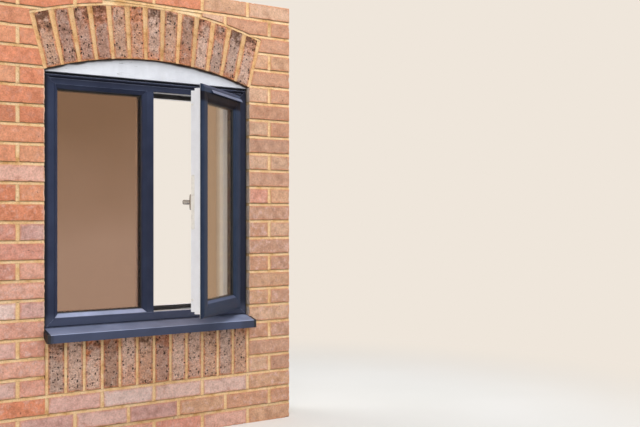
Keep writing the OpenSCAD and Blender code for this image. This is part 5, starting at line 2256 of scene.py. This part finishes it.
    def build_board(self) -> None:
        """Builds the board: rectangles carried along Y, wider in front of the plaster, closing in a half circle."""
        inner, wide, middle, thick, face = self.half_open, 495.0, 495.0, 9.0, self.skim_y[1]
        rows = [(self.frame_back, inner, thick), (face, inner, thick), (face + 0.05, wide, thick)]
        for angle in np.linspace(0, math.pi / 2, 7):
            rows.append((258.25 + thick * math.sin(angle), wide, thick * math.cos(angle) + 0.05))
        layers = []
        for y, end, high in rows:
            soft = end - min(1.5, high)
            half = np.array([(-soft, -1), (soft, -1), (end, -0.8), (end, 0.8)])
            layers.append((np.concatenate([half, -half]) * (1, high) + (0, middle), y))
        shell = Shell()
        shell.add(*skin(layered(layers, (0, 2, 1))))
        shell.piece("window_board_painted", "painted_board", ["window_board"], [self.finishes.board])


@dataclass
class Studio:
    """Pale floor, soft lamps, a pale warm surround and the photograph's camera.

    Places and sides are in metres, lens and sensor in millimetres. Each lamp has its name, its place, the height that
    it faces, its side and its power in watts.
    """

    floor_x: float = 9.0
    floor_y: tuple[float, float] = (-7.0, 9.0)
    ambient: float = 0.46
    sensor: float = 36.0
    clip: tuple[float, float] = (0.05, 60.0)
    lens: float = 51.78
    lift: float = 0.0017
    spot: tuple[float, float, float] = (-1.6317, -3.57445, 0.9241)
    pan: float = math.radians(-35.06)
    lamps: tuple[tuple[str, tuple, float, float, float], ...] = (
        ("key", (-2.4, -4.4, 4.4), 1.0, 3.0, 92.0),
        ("overhead", (1.4, -1.9, 4.4), 0.9, 2.4, 104.0),
        ("fill", (3.4, -3.8, 2.2), 1.0, 3.0, 18.0),
        ("room", (-2.2, 3.6, 2.6), 1.0, 3.0, 120.0),
    )

    def build(self) -> None:
        """Builds the floor, the world, the lamps and the camera."""
        bpy.context.scene.view_settings.view_transform = "Standard"
        mesh, x, (y0, y1) = bpy.data.meshes.new("studio_floor"), self.floor_x, self.floor_y
        mesh.from_pydata([(-x, y0, 0), (x, y0, 0), (x, y1, 0), (-x, y1, 0)], [], [(0, 1, 2, 3)])
        mesh.materials.append(StudioFloor("pale_studio_floor").make())
        floor = self.stand("studio_floor", mesh)
        self.build_world()
        for lamp in self.lamps:
            self.lamp(*lamp)
        camera = bpy.data.cameras.new("camera")
        camera.lens, camera.sensor_width, camera.shift_y = self.lens, self.sensor, self.lift
        camera.clip_start, camera.clip_end = self.clip
        bpy.context.scene.camera = self.stand("camera", camera, self.spot, (math.radians(90), 0, self.pan))

    @staticmethod
    def stand(name: str, data: bpy.types.ID, spot: tuple = (0, 0, 0), turn: tuple = (0, 0, 0)) -> bpy.types.Object:
        """Stands an object in the scene.

        Args:
            name: Its name.
            data: Its mesh, lamp or camera.
            spot: Its place in metres.
            turn: Its rotation about X, Y and Z.

        Returns:
            The object.
        """
        thing = bpy.data.objects.new(name, data)
        thing.location, thing.rotation_euler = spot, turn
        bpy.context.scene.collection.objects.link(thing)
        return thing

    def build_world(self) -> None:
        """Pale warm to the camera, to gloss and through glass, and an even grey light on everything else."""
        world = bpy.data.worlds.new("studio_surround")
        bpy.context.scene.world = world
        world.use_nodes = True
        tree = world.node_tree
        tree.nodes.clear()
        seen = seen_rays(tree)
        light = add(tree, "Background", {"Color": "#f4f6fb", "Strength": self.ambient})
        pale = add(tree, "Background", {"Color": SURROUND, "Strength": 1.0})
        add(tree, "OutputWorld", {"Surface": add(tree, "MixShader", [seen, light, pale])})

    def lamp(self, name: str, spot: tuple, aim_z: float, size: float, power: float) -> None:
        """Adds one square soft lamp at a spot, facing the middle of the window's wall at a height.

        Args:
            name: Lamp's name.
            spot: Its place in metres.
            aim_z: Height that it faces.
            size: Its side in metres.
            power: Its power in watts.
        """
        light = bpy.data.lights.new(name, "AREA")
        light.size, light.energy = size, power
        aim = 0, 0, aim_z
        ahead = Vector(aim) - Vector(spot)
        self.stand(name, light, spot, ahead.to_track_quat("-Z", "Y").to_euler())


def main() -> None:
    """Builds every sub-assembly in order, then the studio."""
    logging.basicConfig(level=logging.INFO, format="%(message)s")
    finishes = Finishes()
    outer, casement = OuterFrame(finishes), Casement(finishes)
    for part in (
        OuterLeaf(finishes), Arch(finishes), SoldierCourse(finishes), outer, casement,
        Glazing(finishes, outer, casement), Sill(finishes), Ironmongery(finishes, casement), RoomSide(finishes),
    ):
        part.build()
    Studio().build()


if __name__ == "__main__":
    main()
